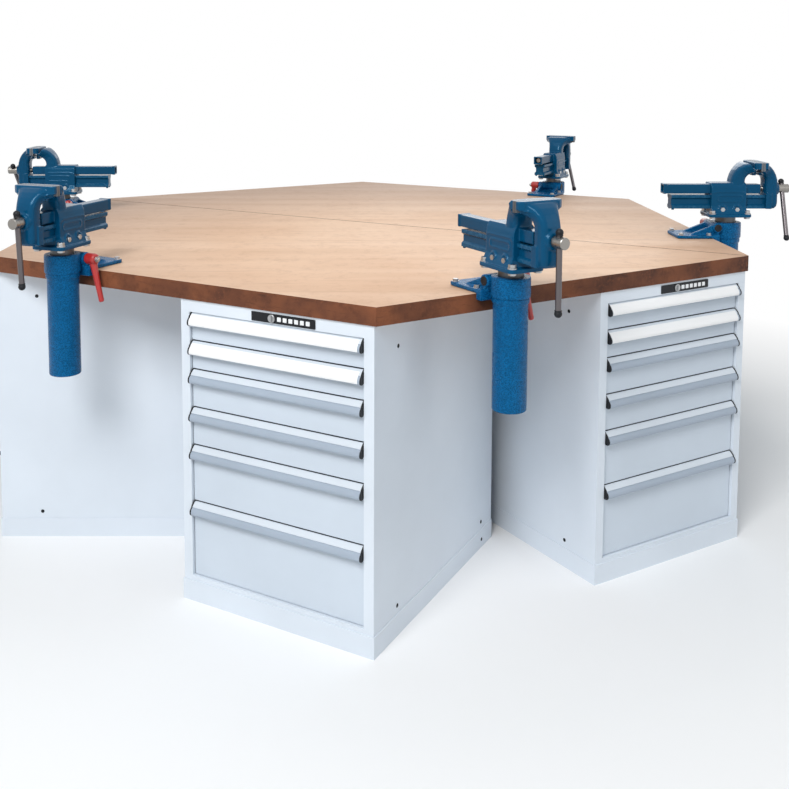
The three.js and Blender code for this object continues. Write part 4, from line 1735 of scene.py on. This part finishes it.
    def guide(self) -> bmesh.types.BMesh:
        """Makes the guide's I-shaped bar, machined and eased.

        Returns:
            A closed shape.
        """
        low, high = self.guide_low, self.guide_high
        right = [(22, low), (22, low + 9), (16, low + 14), (16, high - 14), (22, high - 9), (22, high)]
        outline = right + [(-v, z) for v, z in reversed(right)]
        return softened(prism(outline, self.guide_tail, self.guide_front, Axis.U), 0.9)

    def spindle(self) -> bpy.types.Mesh:
        """Builds the spindle: threaded screw and head.

        Returns:
            The spindle's mesh.
        """
        piece = Piece("spindle")
        back = self.nose + 0.3
        head = [(0, back - 20), (9, back - 20), (9, back), (12.8, back), (14, back + 1.2), (14, back + 33.2),
                (12.6, back + 34.8), (0, back + 34.8)]
        for shape in (turned(head, 56, Axis.U), self.thread(self.screw_tail, back - 18)):
            piece.add(shifted(shape, 0, 0, self.spindle_height), SPINDLE_STEEL)
        return piece.skin()

    def thread(self, start: float, end: float, pitch: float = 6.0, radius: float = 9.0) -> bmesh.types.BMesh:
        """Makes the screw's helical thread.

        Args:
            start: Its rear end.
            end: Its front end.
            pitch: Advance of one turn.
            radius: Outer radius.

        Returns:
            A closed shape.
        """
        round_count, per_pitch, deepest = 20, 6, 1.6
        steps = int((end - start) / pitch * per_pitch)
        rings = []
        for i in range(steps + 1):
            u = start + (end - start) * i / steps
            ring = []
            for k in range(round_count):
                phase = (u / pitch - k / round_count) % 1.0
                depth = deepest * min(1.0, max(0.0, 3.0 * abs(phase - 0.5) - 0.3))
                angle = 2 * math.pi * k / round_count
                r = radius - depth
                ring.append((u, r * math.cos(angle), r * math.sin(angle)))
            rings.append(ring)
        return lofted(rings)

    def t_bar(self) -> bpy.types.Mesh:
        """Builds the T-bar about its own axis: drawn bar and black end balls, hanging from the upper one.

        Returns:
            The T-bar's mesh, its origin where it crosses the spindle's axis.
        """
        high, low, radius, ball = self.bar_high, self.bar_low, self.bar_radius, self.ball_radius
        piece = Piece("t_bar")
        piece.add(turned([(0, low), (radius, low), (radius, high), (0, high)], 32), BAR_STEEL)
        angles = [math.radians(t) for t in range(-30, 81, 11)]
        dome = [(ball * math.cos(t), ball * math.sin(t)) for t in angles]
        for centre, way in ((low, -1), (high, 1)):
            knob = turned([(0, -8.5), (7.6, -8.5), (8.6, -7.4), *dome, (0, ball)], 32)
            if way < 0:
                moved(knob, Matrix.Rotation(math.pi, 4, "X"))
            piece.add(shifted(knob, 0, 0, centre), BLACK_PLASTIC_AND_GAP_SHADE)
        return piece.skin()


@dataclass
class ViceStand:
    """A lift with its vice at one side of the bench; the five share their meshes."""

    number: int
    meshes: dict[str, bpy.types.Mesh]
    bar_out: float = 178.3

    def build(self) -> None:
        """Places every piece of the stand."""
        name = f"vice_{self.number}"
        low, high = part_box(f"{name}_lift_post")
        middle = (Vector(low) + Vector(high)) / 2
        post = Matrix.Translation((middle.x, middle.y, 0))
        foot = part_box(f"{name}_body")[0][2]
        lever_axis = Vector(JOINTS[f"{name}_clamp_turn"]["axis"])
        side = post @ turn_z(math.atan2(lever_axis.x, -lever_axis.y))
        jaw_axis = Vector(JOINTS[f"{name}_jaw_slide"]["axis"])
        vice = Matrix.Translation((middle.x, middle.y, foot)) @ turn_z(math.atan2(jaw_axis.y, jaw_axis.x))
        bar_axis = vice.to_3x3().inverted() @ Vector(JOINTS[f"{name}_t_bar_slide"]["axis"])
        lean = Matrix.Rotation(math.atan2(-bar_axis.y, bar_axis.z), 4, "X")
        bar = vice @ Matrix.Translation((self.bar_out * MM, 0, Vice.spindle_height * MM)) @ lean
        rows = (("lift_column", side, "lift_blue"), ("clamp_lever", side, "lever_red"),
                ("lift_post", side, "post_steel"), ("body", vice, "vice_blue"),
                ("moving_jaw", vice, "vice_blue"), ("spindle", vice, "spindle_steel"),
                ("t_bar", bar, "spindle_steel"))
        for part, axes, slot in rows:
            node = f"{name}_{part}"
            body = ROOT if part == "lift_column" else node
            place(f"{node}_dressed", self.meshes[part], axes, body, [node], slot)


@dataclass
class Studio:
    """Pale floor, soft lamps, bright surroundings and the photograph's camera."""

    bench: Bench
    lens: float = 46.056
    shift: Point = (0.0564, -0.30)
    place: Point = (-60.8, -3517.5, 1388.3)
    pitch: float = -5.123
    yaw: float = 0.036
    floor_fades: Point = (1.5, 3.0)
    floor_radius: float = 40.0
    floor_grey: float = 0.93
    sky: Colour = (0.88, 0.95, 1.0)
    sky_strength: float = 0.37
    aim: Point = (0.0, 0.0, 0.6)

    def build(self) -> None:
        """Builds the camera, the floor, the surroundings and the lamps."""
        self.build_camera()
        self.build_floor()
        self.build_world()
        self.add_lamp("key", (-1.6, -4.5, 4.4), 2.2, 235.0)
        self.add_lamp("fill", (4.6, -3.0, 2.6), 3.5, 36.0)
        self.add_lamp("overhead", (0.15, -0.1, 2.4), 1.3, 6.5)
        self.add_lamp("back", (1.4, 4.6, 3.4), 3.0, 46.0)

    def build_camera(self) -> None:
        """Sets the camera to the photograph's view."""
        data = bpy.data.cameras.new("photo_camera")
        data.lens = self.lens
        data.shift_x, data.shift_y = self.shift
        camera = bpy.data.objects.new("photo_camera", data)
        camera.location = self.bench.centre + Vector(self.place) * MM
        camera.rotation_euler = (math.radians(90 + self.pitch), 0, math.radians(-self.yaw))
        bpy.context.scene.collection.objects.link(camera)
        bpy.context.scene.camera = camera

    def build_floor(self) -> None:
        """Lays a wide pale floor."""
        shape = bmesh.new()
        bmesh.ops.create_circle(shape, cap_ends=True, segments=64, radius=self.floor_radius)
        mesh = bpy.data.meshes.new("floor")
        shape.to_mesh(mesh)
        shape.free()
        material = bpy.data.materials.new("pale_floor")
        material.use_nodes = True
        shader = material.node_tree.nodes["Principled BSDF"]
        shader.inputs["Base Color"].default_value = (*(self.floor_grey,) * 3, 1.0)
        shader.inputs["Roughness"].default_value = 0.9
        shader.inputs["Specular IOR Level"].default_value = 0.1
        graph = Graph(material.node_tree)
        away = graph.node("VectorMath", {0: graph.node("TexCoord").outputs["Object"]}, operation="LENGTH")
        far = graph.spread(away.outputs["Value"], *self.floor_fades)
        white = graph.node("Emission", {"Color": WHITE, "Strength": 1.0})
        share = graph.math("MULTIPLY", far, graph.seen())
        mixed = graph.node("MixShader", {0: share, 1: shader.outputs[0], 2: white.outputs[0]})
        out = material.node_tree.nodes["Material Output"]
        graph.feed(out.inputs["Surface"], mixed.outputs[0])
        mesh.materials.append(material)
        floor = bpy.data.objects.new("floor", mesh)
        bpy.context.scene.collection.objects.link(floor)

    def build_world(self) -> None:
        """Lights the surroundings evenly; seen directly or in a reflection they are white."""
        world = bpy.data.worlds.new("studio")
        world.use_nodes = True
        bpy.context.scene.world = world
        graph = Graph(world.node_tree)
        world.node_tree.nodes.clear()
        light = graph.node("Background", {"Color": self.sky, "Strength": self.sky_strength})
        white = graph.node("Background", {"Color": WHITE, "Strength": 1.0})
        mixed = graph.node("MixShader", {0: graph.seen(), 1: light.outputs[0], 2: white.outputs[0]})
        graph.node("OutputWorld", {"Surface": mixed.outputs[0]})

    def add_lamp(self, name: str, place_m: Point, size: float, power: float) -> None:
        """Hangs a square soft lamp that faces the bench.

        Args:
            name: The lamp's name.
            place_m: Where it hangs, in metres.
            size: Its side in metres.
            power: Its power in watts.
        """
        data = bpy.data.lights.new(name, "AREA")
        data.shape = "SQUARE"
        data.size = size
        data.energy = power
        lamp = bpy.data.objects.new(name, data)
        lamp.location = place_m
        aim = Vector(self.aim) - Vector(place_m)
        lamp.rotation_euler = aim.to_track_quat("-Z", "Y").to_euler()
        lamp.visible_camera = False
        bpy.context.scene.collection.objects.link(lamp)


def main() -> None:
    """Builds the bench, sub-assembly by sub-assembly, and its studio."""
    logging.basicConfig(level=logging.INFO, format="%(message)s")
    bpy.context.scene.view_settings.view_transform = "Standard"
    bench = Bench.from_frame()
    Studio(bench).build()
    Worktop(bench).build()
    for number in range(1, SIDES + 1):
        Cabinet(number, bench, f"cabinet_{number}_drawer_1" in frame["nodes"]).build()
    lift, vice = Lift(), Vice()
    post_low, post_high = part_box("vice_2_lift_post")
    meshes = {"lift_column": lift.column(bench.top), "clamp_lever": lift.lever(bench.top),
              "lift_post": lift.post(post_high[2] / MM, post_low[2] / MM), "body": vice.body(),
              "moving_jaw": vice.jaw(), "spindle": vice.spindle(), "t_bar": vice.t_bar()}
    for number in range(1, SIDES + 1):
        if f"vice_{number}_body" in frame["nodes"]:
            ViceStand(number, meshes).build()


if __name__ == "__main__":
    main()
